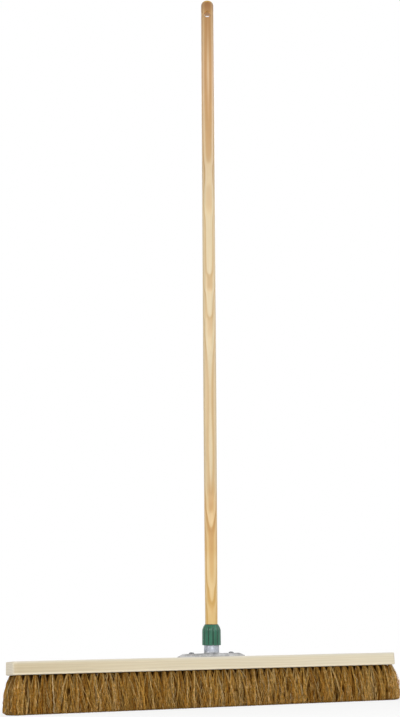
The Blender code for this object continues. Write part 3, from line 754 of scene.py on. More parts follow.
whitewood, tree, shader = new_material(
    "planed_bare_whitewood", {"Roughness": 0.62, "IOR": 1.5, "Specular IOR Level": 0.3}
)
place = add(tree, "TexCoord", output="Object")
grain = add(tree, "Mapping", {"Vector": place, "Rotation": (0, math.pi / 2, 0)})
years = growth_rings(tree, grain, BOARD_PITH, BOARD_RING, BOARD_WOBBLE)
creams = [(0.0, "ECE2C9"), (0.5, "E9DEC4"), (0.86, "E4D8BC"), (0.95, "E6DAC0"), (1.0, "ECE2C9")]
wood = add(tree, "ValToRGB", {"Fac": years}, stops=creams)
streaks = fibre_streaks(tree, grain, BOARD_STREAK, 0.95, 1.04)
wood = add(tree, "VectorMath", {0: wood, "Scale": streaks}, operation="SCALE")
run = add(tree, "SeparateXYZ", {0: place}).node.outputs
low, high = STOCK_LOW, STOCK_HIGH
along = add(tree, "MapRange", {"Value": run["X"], "From Min": low[0], "From Max": high[0]})
# painted shade: the board darkens towards its left end
left_shade_tints = [(0.0, "E5DED1"), (0.12, "ECE7DD"), (0.3, "F6F3ED"), (1.0, "FFFFFF")]
painted_shade_left = add(tree, "ValToRGB", {"Fac": along}, stops=left_shade_tints)
wood = add(tree, "VectorMath", {0: wood, 1: painted_shade_left}, operation="MULTIPLY")
# the lower edge's tint is a painted highlight of light from below; the upper edge's is a plain grey
# tint
for start, full, tint in (
    (low[2] + LOW_EDGE_HIGHLIGHT[0], low[2] + LOW_EDGE_HIGHLIGHT[1], "FBF0D6"),
    (high[2] - HIGH_EDGE[0], high[2] - HIGH_EDGE[1], "E6DFCE"),
):
    edge = add(tree, "MapRange", {"Value": run["Z"], "From Min": start, "From Max": full})
    wood = add(tree, "Mix", {0: edge, 6: wood, 7: linear(tint)}, output=2, data_type="RGBA")
masks = [(0.0005, "FFFFFF"), (0.003, "000000"), (0.991, "000000"), (0.997, "FFFFFF")]
end = add(tree, "ValToRGB", {"Fac": along}, stops=masks)
duller = [(0.0, "E9DFCA"), (0.8, "DFD4BE"), (1.0, "E9DFCA")]
sawn = add(tree, "ValToRGB", {"Fac": years}, stops=duller)
wood = add(tree, "Mix", {0: end, 6: wood, 7: sawn}, output=2, data_type="RGBA")
tree.links.new(wood, shader.inputs["Base Color"])
bump = add(tree, "Bump", {"Height": streaks, "Strength": 0.25, "Distance": 0.2 * MM})
tree.links.new(bump, shader.inputs["Normal"])

piece("head_board", closed_board(), whitewood, "head", "head_wood", "stock")

# %% [markdown]
# ## The handle's axis
#
# The handle, the collar and the socket's tube share one axis, which leans a little. Each of them
# is worked out upright, as if on a lathe, and then carried to that axis. The collar's joint
# knows where the axis is, so the lean isn't written down twice.

# %% The leaning axis
joint = next(joint for joint in frame["joints"] if joint["name"] == "collar_turn")
AXIS, AXIS_FOOT = np.array(joint["axis"]), np.array(joint["pos_m"])
LEAN = math.atan2(-AXIS[1], AXIS[2])
AXIS_BACK = np.cross(AXIS, [1.0, 0.0, 0.0])


def on_axis(points):
    """Carries points (x, y, height) to the leaning axis: foot + x X + y back + height axis."""
    points = np.asarray(points)
    across = points[..., :1] * [1.0, 0.0, 0.0] + points[..., 1:2] * AXIS_BACK
    return AXIS_FOOT + across + points[..., 2:] * AXIS


def axis_heights(node):
    """The lowest and highest reach of a CAD node along the axis."""
    points = np.zeros(len(frame["nodes"][node].data.vertices) * 3, np.float32)
    frame["nodes"][node].data.vertices.foreach_get("co", points)
    heights = (points.reshape(-1, 3) - AXIS_FOOT) @ AXIS
    return heights.min(), heights.max()


def axis_coordinates(tree, turn=0.0):
    """Object coordinates made upright on the axis, and turned about it."""
    place = add(tree, "TexCoord", output="Object")
    shift = add(tree, "VectorMath", {0: place, 1: AXIS_FOOT.tolist()}, operation="SUBTRACT")
    return add(tree, "Mapping", {"Vector": shift, "Rotation": (-LEAN, 0, turn)})


print("the axis leans", round(math.degrees(LEAN), 2), "degrees")

# %% [markdown]
# ## The handle
#
# The handle is a pole turned from a pine plank: parallel where it goes into the socket, then
# swelling slowly to its full thickness, with a domed top and a hole drilled through it. The
# shaft is a plain lathe shape. The drilled stretch is harder, because a round hole has to meet a
# round pole. Cutting it with a Boolean leaves long thin faces that shade badly. Instead the half
# of the pole that faces each mouth is one patch of rings: the first lines the bore, the next
# round over its edge, and the rest open out from a circle to the patch's own border.

# %% The handle's sizes
HANDLE_FOOT, HANDLE_TOP = axis_heights("handle")
FULL_RADIUS, SPIGOT_RADIUS = 14.8 * MM, 13.6 * MM
SPIGOT_TOP, TAPER_TOP = 76 * MM, 676 * MM  # heights up the axis
TAPER_POWER, TAPER_STEPS = 1.6, 12  # over 1, the pole swells most at the taper's foot
DOME, DOME_STEPS, SPIGOT_CHAMFER = 12.0 * MM, 12, 2.5 * MM
HOLE_DROP, BORE_RADIUS, MOUTH_ROUND = 38.5 * MM, 7.8 * MM, 1.4 * MM
HOLE_TURN = math.radians(-26.0)
HOLE_HEIGHT = HANDLE_TOP - HOLE_DROP
PATCH_HALF = 14.0 * MM  # from the hole's centre to the patch's upper and lower borders
HALF_SIDES, PATCH_STEPS = 32, 16  # points over half the pole, and up one side of the patch
EDGE_RINGS, OUTER_RINGS = 6, 6  # over the mouth's edge, and from there to the border


def drilled_half():
    """One half of the drilled stretch, with the hole's mouth facing -Y: (ring, point, 3).

    The border is a rectangle in angle and height. Point by point, its direction from the hole's
    centre, measured round the pole and up it, gives the point's place on the circle. The bore's
    wall runs out from the middle, its edge is a quarter circle, and the outer rings go from the
    circle to the border in the flat of angle and height, and so lie on the pole."""
    half = np.linspace(-np.pi / 2, np.pi / 2, HALF_SIDES + 1)[:-1]
    up = np.linspace(-PATCH_HALF, PATCH_HALF, PATCH_STEPS + 1)[:-1]
    side, edge = np.full(PATCH_STEPS, np.pi / 2), np.full(HALF_SIDES, PATCH_HALF)
    angle = np.concatenate([half, side, -half, -side])
    rise = np.concatenate([-edge, up, edge, -up])
    towards = np.arctan2(rise, angle * FULL_RADIUS)
    mouth = BORE_RADIUS + MOUTH_ROUND
    bore_x, bore_z = BORE_RADIUS * np.cos(towards), BORE_RADIUS * np.sin(towards)
    mouth_x, mouth_z = mouth * np.cos(towards), mouth * np.sin(towards)
    surface = np.sqrt(FULL_RADIUS**2 - mouth_x**2)
    rings = [np.stack([bore_x, 0 * bore_x, bore_z], axis=-1)]
    for a in np.linspace(0, np.pi / 2, EDGE_RINGS):
        radius = BORE_RADIUS + MOUTH_ROUND * (1 - np.cos(a))
        depth = surface - MOUTH_ROUND * (1 - np.sin(a))
        ring = [radius * np.cos(towards), -depth, radius * np.sin(towards)]
        rings.append(np.stack(ring, axis=-1))
    mouth_angle = np.arcsin(mouth_x / FULL_RADIUS)
    for share in np.linspace(0, 1, OUTER_RINGS + 1)[1:]:
        a = mouth_angle + (angle - mouth_angle) * share
        z = mouth_z + (rise - mouth_z) * share
        rings.append(np.stack([FULL_RADIUS * np.sin(a), -FULL_RADIUS * np.cos(a), z], axis=-1))
    return np.stack(rings)


# %% The whole handle
def turned_handle():
    """The spigot, taper, drilled stretch and dome as one closed mesh on the leaning axis."""
    angles = HOLE_TURN + np.arange(2 * HALF_SIDES) * np.pi / HALF_SIDES
    below = [
        (SPIGOT_RADIUS - SPIGOT_CHAMFER, HANDLE_FOOT),
        (SPIGOT_RADIUS, HANDLE_FOOT + SPIGOT_CHAMFER),
        (SPIGOT_RADIUS, SPIGOT_TOP),
    ]
    t = np.linspace(0, 1, TAPER_STEPS + 1)[1:]
    swell = 1 - (1 - t) ** TAPER_POWER
    radius = SPIGOT_RADIUS + (FULL_RADIUS - SPIGOT_RADIUS) * swell
    below += list(zip(radius, SPIGOT_TOP + (TAPER_TOP - SPIGOT_TOP) * t))
    below += [(FULL_RADIUS, HOLE_HEIGHT - PATCH_HALF)]
    a = np.linspace(0, np.pi / 2, DOME_STEPS + 1)
    above = [(FULL_RADIUS, HOLE_HEIGHT + PATCH_HALF)]
    above += list(zip(FULL_RADIUS - DOME * (1 - np.cos(a)), HANDLE_TOP - DOME * (1 - np.sin(a))))
    parts, faces, count = [], [], 0
    for profile, open_end in ((below, 0), (above, -1)):
        profile = np.array(profile)
        points = round_points(profile[:, :1], angles, profile[:, 1:])
        faces.append(grid_quads(*points.shape[:2], first=count))
        cap = count + (open_end % len(points)) * len(angles) + np.arange(len(angles))
        parts.append(points.reshape(-1, 3))
        faces.append(cap[None])
        count += points.shape[0] * points.shape[1]
    half = drilled_half()
    for turn in (HOLE_TURN, HOLE_TURN + np.pi):
        parts.append(turned(half.reshape(-1, 3), turn) + [0, 0, HOLE_HEIGHT])
        faces.append(grid_quads(*half.shape[:2], first=count))
        count += half.shape[0] * half.shape[1]
    mesh = mesh_of("turned_handle", on_axis(np.concatenate(parts)), *faces)
    return softened(welded(mesh, distance=0.01 * MM), degrees=40)


# %% Varnished pine
# Turned Scots pine under one thin coat of clear varnish: pale yellow early wood, tan late wood,
# and a low, soft gloss. The plank wandered against the trunk, so the rings drift along the
# handle and their tips show as long arches. The middle stretch is paler sapwood, and below it and
# towards the top the wood is golden. Its upper third is tinted darker, most of all over the
# domed top, and a short stretch of the lower handle is tinted a little. The end grain inside the
# bore has soaked up varnish, and with painted shade of the hole it is a strong golden brown.
RING_WIDTH, PITH_ASIDE, PITH_BACK = 5.5 * MM, -4 * MM, 55 * MM
PINE_WOBBLE, PINE_STREAK = 0.3, 2.0 * MM
BORE_EDGE = 13.0 * MM, 14.2 * MM  # from the axis: the bore's colour ends between these
DRIFT_MOST = 7.0  # the drift curve's full height, in years
DRIFT = [  # pairs of a height up the axis, in mm, and the drift there, in years
    (79, 0.6), (100, 0.7), (112, 0.95), (124, 1.2), (146, 1.35), (160, 1.65), (190, 1.8),
    (258, 1.86), (275, 2.05), (295, 2.3), (308, 2.5), (320, 2.75), (345, 2.85), (362, 3.03),
    (640, 3.08), (700, 3.45), (722, 3.7), (748, 3.85), (762, 4.1), (805, 4.3), (818, 4.6),
    (826, 4.85), (848, 4.9), (864, 5.15), (885, 5.22), (985, 5.28), (1003, 5.5), (1025, 5.7),
    (1060, 5.6), (1085, 5.35), (1110, 5.35), (1128, 5.6), (1150, 5.74), (1538, 5.8),
]  # fmt: skip

pine, tree, shader = new_material(
    "varnished_turned_pine",
    {"Roughness": 0.42, "IOR": 1.5, "Coat Weight": 0.25, "Coat Roughness": 0.25},
)
grain = axis_coordinates(tree, -TURN)  # the plank's face was towards the photographer
up = add(tree, "SeparateXYZ", {0: grain}, output="Z")
low, high = DRIFT[0][0] * MM, DRIFT[-1][0] * MM
up = add(tree, "MapRange", {"Value": up, "From Min": low, "From Max": high})
drift = add(tree, "FloatCurve", {"Value": up})
curve = drift.node.mapping.curves[0]
while len(curve.points) < len(DRIFT):
    curve.points.new(0.5, 0.5)
for point, (height, drifted) in zip(curve.points, DRIFT):
    point.location = ((height * MM - low) / (high - low), drifted / DRIFT_MOST)
drift.node.mapping.update()
# The rings at the front start from the pith's distance there, in ring widths.
start = -(FULL_RADIUS + math.hypot(PITH_ASIDE, PITH_BACK)) / RING_WIDTH
drift = add(tree, "Math", {0: drift, 1: DRIFT_MOST, 2: start}, operation="MULTIPLY_ADD")
years = growth_rings(tree, grain, (PITH_ASIDE, PITH_BACK), RING_WIDTH, PINE_WOBBLE, drift)
sapwood_rings = [
    (0.0, "D9C297"), (0.08, "DDCAA4"), (0.4, "DFC79B"), (0.7, "D6B789"),
    (0.86, "C9A876"), (0.93, "CFB080"), (1.0, "D9C297"),
]  # fmt: skip
golden_rings = [
    (0.0, "E8CE9A"), (0.1, "F2D8A8"), (0.42, "ECD19D"), (0.62, "DAB378"),
    (0.86, "CCA160"), (0.94, "D4AC71"), (1.0, "E8CE9A"),
]  # fmt: skip
golden_by_height = [
    (0.0, "FFFFFF"), (0.17, "FFFFFF"), (0.21, "000000"), (0.66, "000000"), (0.73, "FFFFFF"),
]  # fmt: skip
tint_by_height = [
    (0.085, "FFFFFF"), (0.105, "F3E8D6"), (0.17, "F3EAE0"), (0.21, "FFFFFF"), (0.64, "FFFFFF"),
    (0.72, "E8E4E9"), (0.8, "EDE7EE"), (0.87, "ECE2EA"), (0.93, "E0D5D4"), (0.975, "D3C1AE"),
    (0.985, "BCA386"), (1.0, "B49B7E"),
]  # fmt: skip
sapwood = add(tree, "ValToRGB", {"Fac": years}, stops=sapwood_rings)
golden = add(tree, "ValToRGB", {"Fac": years}, stops=golden_rings)
share = add(tree, "ValToRGB", {"Fac": up}, stops=golden_by_height)
wood = add(tree, "Mix", {0: share, 6: sapwood, 7: golden}, output=2, data_type="RGBA")
tint = add(tree, "ValToRGB", {"Fac": up}, stops=tint_by_height)
wood = add(tree, "VectorMath", {0: wood, 1: tint}, operation="MULTIPLY")
streaks = fibre_streaks(tree, grain, PINE_STREAK, 0.94, 1.05)
wood = add(tree, "VectorMath", {0: wood, "Scale": streaks}, operation="SCALE")
across = add(tree, "VectorMath", {0: grain, 1: (1, 1, 0)}, operation="MULTIPLY")
across = add(tree, "VectorMath", {0: across}, "Value", operation="LENGTH")
# painted shade: inside the bore the wood is a darker, stronger golden brown, with its end grain
near, far = BORE_EDGE
bore = add(tree, "MapRange", {"Value": across, "From Min": near, "From Max": far})
wood = add(tree, "Mix", {0: bore, 6: linear("D7A640"), 7: wood}, output=2, data_type="RGBA")
tree.links.new(wood, shader.inputs["Base Color"])
bump = add(tree, "Bump", {"Height": streaks, "Strength": 0.12, "Distance": 0.2 * MM})
tree.links.new(bump, shader.inputs["Normal"])

piece("turned_handle", turned_handle(), pine, "handle", "handle_wood", "handle")

# %% [markdown]
# ## Screw threads
#
# The collar screws down over the socket's tube, so one has a thread inside and the other
# outside. A thread could be a bar wound round the wall and joined to it. Here both walls are
# already grids of angle and height, so the thread is simply a rise in their radius: where a
# point is near the winding line, it moves out or in.

# %% Threads
THREAD_PITCH, THREAD_DEPTH = 4.0 * MM, 1.2 * MM
THREAD_ROOT, THREAD_CREST = 0.475 * THREAD_PITCH, 0.2 * THREAD_PITCH  # the ridge's widths
TUBE_RADIUS, TUBE_BORE = 16.45 * MM, 13.95 * MM
TUBE_FLOOR, TUBE_TOP = 9.7 * MM, 56 * MM  # heights up the axis
THREAD_TURNS = 3.5
THREAD_START = TUBE_TOP - THREAD_ROOT - THREAD_TURNS * THREAD_PITCH
WALL_STEP = 0.25 * MM  # between the rings of a threaded wall


def thread(angle, height, start, turns):
    """How far a thread stands out at each angle and height, from 0 to its depth.

    The winding line is at height start + pitch t and angle 2 pi t. The nearest t for a point is
    its share of a turn plus a whole number, the ridge falls off with the distance from that
    line, and it fades in and out over its first and last quarter turns."""
    share = np.mod(angle, 2 * np.pi) / (2 * np.pi)
    t = share + np.round((height - start) / THREAD_PITCH - share)
    away = np.abs(height - start - THREAD_PITCH * t)
    ridge = np.clip((THREAD_ROOT / 2 - away) / ((THREAD_ROOT - THREAD_CREST) / 2), 0, 1)
    return THREAD_DEPTH * ridge * np.clip(4 * np.minimum(t, turns - t), 0, 1)


print("thread from", round(THREAD_START / MM, 1), "to", round(TUBE_TOP / MM, 1), "mm up the axis")

# %% [markdown]
# ## The screw collar
#
# The green collar is moulded in polypropylene. Hands turn it, so it has twelve flutes: round
# ribs with a narrow valley between each two. Its shoulder curves in over the collet that grips
# the handle. A circle whose radius follows the absolute value of a cosine gives exactly such
# ribs, since that curve comes down to a point between its humps.

# %% The collar's shape
COLLAR_FOOT, COLLAR_TOP = axis_heights("clamp_collar")
SHOULDER_FOOT, SHOULDER_POWER = 56.3 * MM, 1.6
FOOT_RADIUS, SHOULDER_RADIUS, LIP_RADIUS = 20.5 * MM, 20.3 * MM, 14.85 * MM
FOOT_EDGE, LIP_EDGE = 0.7 * MM, 0.4 * MM  # sizes of the foot's round edge and the lip's bevel
SKIRT_BORE, SKIRT_TOP, LIP_FOOT = 18.1 * MM, 55.7 * MM, 65.6 * MM
CONE_FOOT_RADIUS, CONE_TOP_RADIUS = 16.75 * MM, 15.45 * MM  # of the inside over the collet
FLUTES, FLUTE_DEPTH, COLUMNS = 12, 1.35 * MM, 240
EDGE_POINTS, SKIRT_POINTS, SHOULDER_POINTS = 5, 12, 15  # up each part of the outside
RIB_POWER = 0.55  # the smaller, the flatter the ribs and the narrower the valleys
FLUTE_END = 1.25  # over 1, the flutes run at full depth some way up the shoulder


def collar_outside():
    """The collar's outside as rows of (radius, height, share of the flutes' depth).

    The foot's edge is a quarter circle. The skirt draws in a little up to the shoulder, which
    goes in to the lip as a power of the height, and the lip ends in a bevel."""
    a = np.linspace(0, np.pi / 2, EDGE_POINTS)
    foot = [
        FOOT_RADIUS - FOOT_EDGE * (1 - np.sin(a)),
        COLLAR_FOOT + FOOT_EDGE * (1 - np.cos(a)),
        a / np.pi * 2,
    ]
    t = np.linspace(0, 1, SKIRT_POINTS)[1:]
    skirt = [
        FOOT_RADIUS + (SHOULDER_RADIUS - FOOT_RADIUS) * t,
        COLLAR_FOOT + FOOT_EDGE + (SHOULDER_FOOT - COLLAR_FOOT - FOOT_EDGE) * t,
        1 + 0 * t,
    ]
    t = np.linspace(0, 1, SHOULDER_POINTS)[1:]
    shoulder = [
        SHOULDER_RADIUS - (SHOULDER_RADIUS - LIP_RADIUS) * t**SHOULDER_POWER,
        SHOULDER_FOOT + (COLLAR_TOP - LIP_EDGE - SHOULDER_FOOT) * t,
        np.clip(FLUTE_END * (1 - t**2), 0, 1),
    ]
    lip = [[LIP_RADIUS - LIP_EDGE], [COLLAR_TOP], [0.0]]
    return np.concatenate([np.array(part, float) for part in (foot, skirt, shoulder, lip)], axis=1)


def fluted_collar():
    """The collar as one closed grid: up the outside, over the lip and down the threaded inside.

    A valley's depth is what a flattened |cos 6 angle| lacks of 1, and its humps are the ribs."""
    angle = np.arange(COLUMNS) * 2 * np.pi / COLUMNS
    radius, height, share = collar_outside()
    valley = 1 - np.abs(np.cos(FLUTES / 2 * angle)) ** RIB_POWER
    outside = radius[:, None] - FLUTE_DEPTH * share[:, None] * valley
    lip = [(TUBE_BORE, COLLAR_TOP), (TUBE_BORE, LIP_FOOT)]
    inner = np.array([*lip, (CONE_TOP_RADIUS, LIP_FOOT), (CONE_FOOT_RADIUS, TUBE_TOP)])
    skirt_height = np.append(np.arange(SKIRT_TOP, COLLAR_FOOT, -WALL_STEP), COLLAR_FOOT)
    wound = thread(angle, skirt_height[:, None], THREAD_START + THREAD_PITCH / 2, THREAD_TURNS - 1)
    inside = np.concatenate([inner[:, :1] + 0 * angle, SKIRT_BORE - wound])
    rows = np.concatenate([outside, inside, outside[:1]])
    heights = np.concatenate([height, inner[:, 1], skirt_height, height[:1]])
    points = on_axis(round_points(rows, angle, heights[:, None]))
    mesh = mesh_of("fluted_collar", points.reshape(-1, 3), grid_quads(len(rows), COLUMNS))
    depth = np.zeros((len(rows), COLUMNS), np.float32)
    depth[: len(radius)] = share[:, None] * valley
    depth[len(radius) - 2 : len(radius) + 1] = 1.0  # the lip, which gets painted shade as a valley does
    mesh.attributes.new("flute_depth", "FLOAT", "POINT").data.foreach_set("value", depth.ravel())
    return softened(welded(mesh), degrees=50)


# %% Moulded polypropylene
# Green polypropylene, injection moulded in a spark-finished tool: a waxy, broken sheen rather
# than a gloss, and a shade that varies slightly where the melt flowed. The valleys, and the lip
# where it meets the handle, are darkened with painted shade.
polypropylene, tree, shader = new_material(
    "moulded_green_polypropylene", {"Roughness": 0.3, "IOR": 1.49}
)
place = axis_coordinates(tree)
flow = add(tree, "Mapping", {"Vector": place, "Scale": (90, 90, 25)})
flow = add(tree, "TexNoise", {"Vector": flow, "Scale": 1.0, "Detail": 3.0})
greens = [(0.3, "19563F"), (0.5, "21654B"), (0.7, "2A7258")]
green = add(tree, "ValToRGB", {"Fac": flow}, stops=greens)
depth = add(tree, "Attribute", attribute_name="flute_depth", output="Fac")
# painted shade: the flute valleys and the lip are darkened
shade_greys = [(0.15, "FFFFFF"), (0.8, "8C9690"), (1.0, "5C6660")]
valley_shade = add(tree, "ValToRGB", {"Fac": depth}, stops=shade_greys)
green = add(tree, "VectorMath", {0: green, 1: valley_shade}, operation="MULTIPLY")
tree.links.new(green, shader.inputs["Base Color"])
spark = add(tree, "TexNoise", {"Vector": place, "Scale": 1 / (0.9 * MM), "Detail": 2.0})
bump = add(tree, "Bump", {"Height": spark, "Strength": 0.25, "Distance": 0.15 * MM})
tree.links.new(bump, shader.inputs["Normal"])

mesh = fluted_collar()
piece("fluted_collar", mesh, polypropylene, "collar", "collar_plastic", "clamp_collar")

# %% [markdown]
# ## The cast socket
#
# The socket is one aluminium casting: a flat lozenge flange with sloping edges, and a short
# tube that leans with the handle. What tells a casting from a welded part is that nothing meets
# at a sharp corner, and the tube flows into the flange in a fillet. So flange, fillet, tube, rim
# and bore are a single grid. Its columns run outwards from the tube to the flange's edge and its
# rows run from the underside, over the flange, up the tube and down into the bore.

# %% The flange's outline
BASE = np.array([0.0, 0.0, STOCK_HIGH[2]])
FLANGE_LOW, FLANGE_EDGE, FLANGE_TOP = 0.3 * MM, 2.15 * MM, 7.7 * MM  # heights over the head
SPOKES = 256  # columns of the casting's grid
OUTLINE_POINTS = 1440
# Radius in the middle, radius at the ends, and half the length.
FOOT_SIZES = 25 * MM, 14 * MM, 80 * MM
TOP_SIZES = 22 * MM, 11 * MM, 68 * MM


def lozenge(middle, end, half_length):
    """Points of the outline round a middle circle and two end circles, counterclockwise.

    For each direction the point lies on whichever circle reaches further that way."""
    turn = np.arange(OUTLINE_POINTS) * 2 * np.pi / OUTLINE_POINTS
    reach = (half_length - end) * np.cos(turn)
    outer = np.abs(reach) + end > middle
    radius = np.where(outer, end, middle)
    x = np.where(outer, np.sign(reach) * (half_length - end), 0) + radius * np.cos(turn)
    return np.stack([x, radius * np.sin(turn)], axis=-1)


foot_line, top_line = lozenge(*FOOT_SIZES), lozenge(*TOP_SIZES)
steps = np.linalg.norm(np.diff(foot_line, axis=0, append=foot_line[:1]), axis=1)
along = np.concatenate([[0], np.cumsum(steps)])
spots = np.arange(SPOKES) / SPOKES * along[-1]


def evened(line):
    """An outline resampled so that its foot line's points are evenly spaced."""
    closed = np.concatenate([line, line[:1]])
    return np.stack([np.interp(spots, along, closed[:, i]) for i in (0, 1)], axis=-1)


foot_line, top_line = evened(foot_line), evened(top_line)
spoke = np.arctan2(foot_line[:, 1], foot_line[:, 0])
print("flange", np.round(np.ptp(foot_line, axis=0) / MM, 1).tolist(), "mm")

# %% The whole casting
EDGE_DROP = 0.6 * MM  # the lower edge's rounding starts so far below its corner
SLOPE_STARTS, SLOPE_ENDS = 0.12, 0.22  # shares of the slope that its two roundings take up
TOP_STARTS = 0.16  # and how far the upper one reaches over the top, in widths of the slope
FILLET, FILLET_POINTS = 3.2 * MM, 9
FLAT_POINTS, RIM_POINTS = 6, 5  # across the flange's flat top, and over the tube's rim
TUBE_RIM, BORE_BEVEL = 0.6 * MM, 0.4 * MM  # sizes of the tube's round outer and bevelled inner edge
# The threaded wall starts this far under its thread, and stops this far under the tube's end.
WALL_BELOW, WALL_ABOVE = 3 * MM, 0.7 * MM


def pulled(start, corner, end, steps=7):
    """A rounded corner: a curve from start to end that is pulled towards the corner.

    At t it is (1 - t) squared of the start, 2 t (1 - t) of the corner and t squared of the end."""
    t = np.linspace(0, 1, steps).reshape((-1,) + (1,) * np.ndim(start))
    return (1 - t) ** 2 * start + 2 * t * (1 - t) * corner + t**2 * end


def flange_row(share, height):
    """A ring of the flange: a share of the way from the foot line to the top line, at a height."""
    flat = foot_line + (top_line - foot_line) * share
    return BASE + np.column_stack([flat, np.full(SPOKES, height)])


def tube_rows(radius, height):
    """Rings of the tube, for arrays of radii and heights along its axis."""
    return on_axis(round_points(radius, spoke, height))


def cast_socket():
    """The casting's rows from its underside to the floor of its bore, closed at both ends."""
    slope = FLANGE_TOP - FLANGE_EDGE
    low_corner = pulled(
        flange_row(0, FLANGE_EDGE - EDGE_DROP),
        flange_row(0, FLANGE_EDGE),
        flange_row(SLOPE_STARTS, FLANGE_EDGE + SLOPE_STARTS * slope),
    )
    top_corner = pulled(
        flange_row(1 - SLOPE_ENDS, FLANGE_TOP - SLOPE_ENDS * slope),
        flange_row(1, FLANGE_TOP),
        flange_row(1 + TOP_STARTS, FLANGE_TOP),
    )
    # The fillet, from the flange's top to the tube, whose foot is where the tube meets that top.
    lean = np.sin(spoke) * math.sin(LEAN)
    meets = (FLANGE_TOP - TUBE_RADIUS * lean) / math.cos(LEAN)
    corner = tube_rows(TUBE_RADIUS, meets)
    outwards = np.column_stack([np.cos(spoke), np.sin(spoke), 0 * spoke])
    above = tube_rows(TUBE_RADIUS, meets + FILLET)
    foot = pulled(corner + FILLET * outwards, corner, above, FILLET_POINTS)
    t = np.linspace(0, 1, FLAT_POINTS)[1:-1, None, None]
    flat = top_corner[-1] * (1 - t) + foot[0] * t
    height = np.arange(THREAD_START - WALL_BELOW, TUBE_TOP - WALL_ABOVE, WALL_STEP)[:, None]
    wall = tube_rows(TUBE_RADIUS + thread(spoke, height, THREAD_START, THREAD_TURNS), height)
    a = np.linspace(0, np.pi / 2, RIM_POINTS)[:, None]
    rim = tube_rows(TUBE_RADIUS - TUBE_RIM * (1 - np.cos(a)), TUBE_TOP - TUBE_RIM * (1 - np.sin(a)))
    bore = tube_rows(
        np.array([[TUBE_BORE + BORE_BEVEL], [TUBE_BORE], [TUBE_BORE]]),
        np.array([[TUBE_TOP], [TUBE_TOP - BORE_BEVEL], [TUBE_FLOOR]]),
    )
    rows = [flange_row(0, FLANGE_LOW)[None], low_corner, top_corner, flat, foot, wall, rim, bore]
    rows = np.concatenate(rows)
    first, last = np.arange(SPOKES), (len(rows) - 1) * SPOKES + np.arange(SPOKES)
    faces = grid_quads(len(rows), SPOKES)
    mesh = mesh_of("cast_socket", rows.reshape(-1, 3), faces, np.stack([first, last]))
    return softened(welded(mesh), degrees=40)


# %% Cast aluminium
# Die-cast aluminium, tumbled with ceramic media and left bare: a pale satin grey, matt in the
# hollows of its fine skin and brighter on the worn high spots. The tube has been turned for its
# thread, and the flange is darkened with painted shade. The skin's grain is drawn some ten times
# too coarse, so that it shows.
SKIN_GRAIN, CLOUD = 2.2 * MM, 14 * MM
FLANGE_SHADE_END = 8.5 * MM, 13 * MM  # up the axis: the flange's painted shade ends between these

aluminium, tree, shader = new_material("tumbled_cast_aluminium", {"Metallic": 0.7})
place = add(tree, "TexCoord", output="Object")
skin = add(
    tree,
    "TexNoise",
    {"Vector": place, "Scale": 1 / SKIN_GRAIN, "Detail": 5.0, "Roughness": 0.65},
)
cloud = add(tree, "TexNoise", {"Vector": place, "Scale": 1 / CLOUD, "Detail": 2.0})
both = add(tree, "Math", {0: skin, 1: cloud}, operation="ADD")
mean = add(tree, "Math", {0: both, 1: 0.5}, operation="MULTIPLY")
grey = add(tree, "ValToRGB", {"Fac": mean}, stops=[(0.36, "888C94"), (0.61, "C5C9D3")])
height = add(tree, "SeparateXYZ", {0: axis_coordinates(tree)}, output="Z")
# painted shade: the flange is darker than the tube
near, far = FLANGE_SHADE_END
flange_shade_fade = add(tree, "MapRange", {"Value": height, "From Min": near, "From Max": far})
duller = add(tree, "ValToRGB", {"Fac": flange_shade_fade}, stops=[(0.0, "F4EEE2"), (1.0, "FFFFFF")])
grey = add(tree, "VectorMath", {0: grey, 1: duller}, operation="MULTIPLY")
tree.links.new(grey, shader.inputs["Base Color"])
matt = add(
    tree,
    "MapRange",
    {"Value": skin, "From Min": 0.3, "From Max": 0.7, "To Min": 0.55, "To Max": 0.38},
)
tree.links.new(matt, shader.inputs["Roughness"])
bump = add(tree, "Bump", {"Height": skin, "Strength": 0.35, "Distance": 0.25 * MM})
tree.links.new(bump, shader.inputs["Normal"])

piece("cast_socket", cast_socket(), aluminium, "head", "socket_casting", "handle_socket")

# %% [markdown]
# ## The wood screws
#
# Two slotted round-head screws hold the flange. A slot cut by a Boolean would do, but the head
# can also be drawn as chords: lines side by side across the dome, parallel to the slot. Where
# the slot runs, the lines drop to its floor, and the two lines at each of its walls share one
# place but not one height.

# %% Screws
HEAD_RADIUS, HEAD_HEIGHT, HEAD_EDGE = 5.6 * MM, 3.0 * MM, 0.75 * MM
SLOT_WIDTH, SLOT_DEPTH, SLOT_TURN = 1.3 * MM, 1.4 * MM, math.radians(35)
SHANK_RADIUS, POINT_LENGTH = 2.3 * MM, 5 * MM
POINT_WIDTH = 0.05  # of the shank's, at the very tip
SIDE_CHORDS, CHORD_POINTS = 13, 25  # chords on each side of the slot, and points along a chord
LAST_CHORD = 0.2  # radians: a side's chords are spaced by angle, and end so near the middle


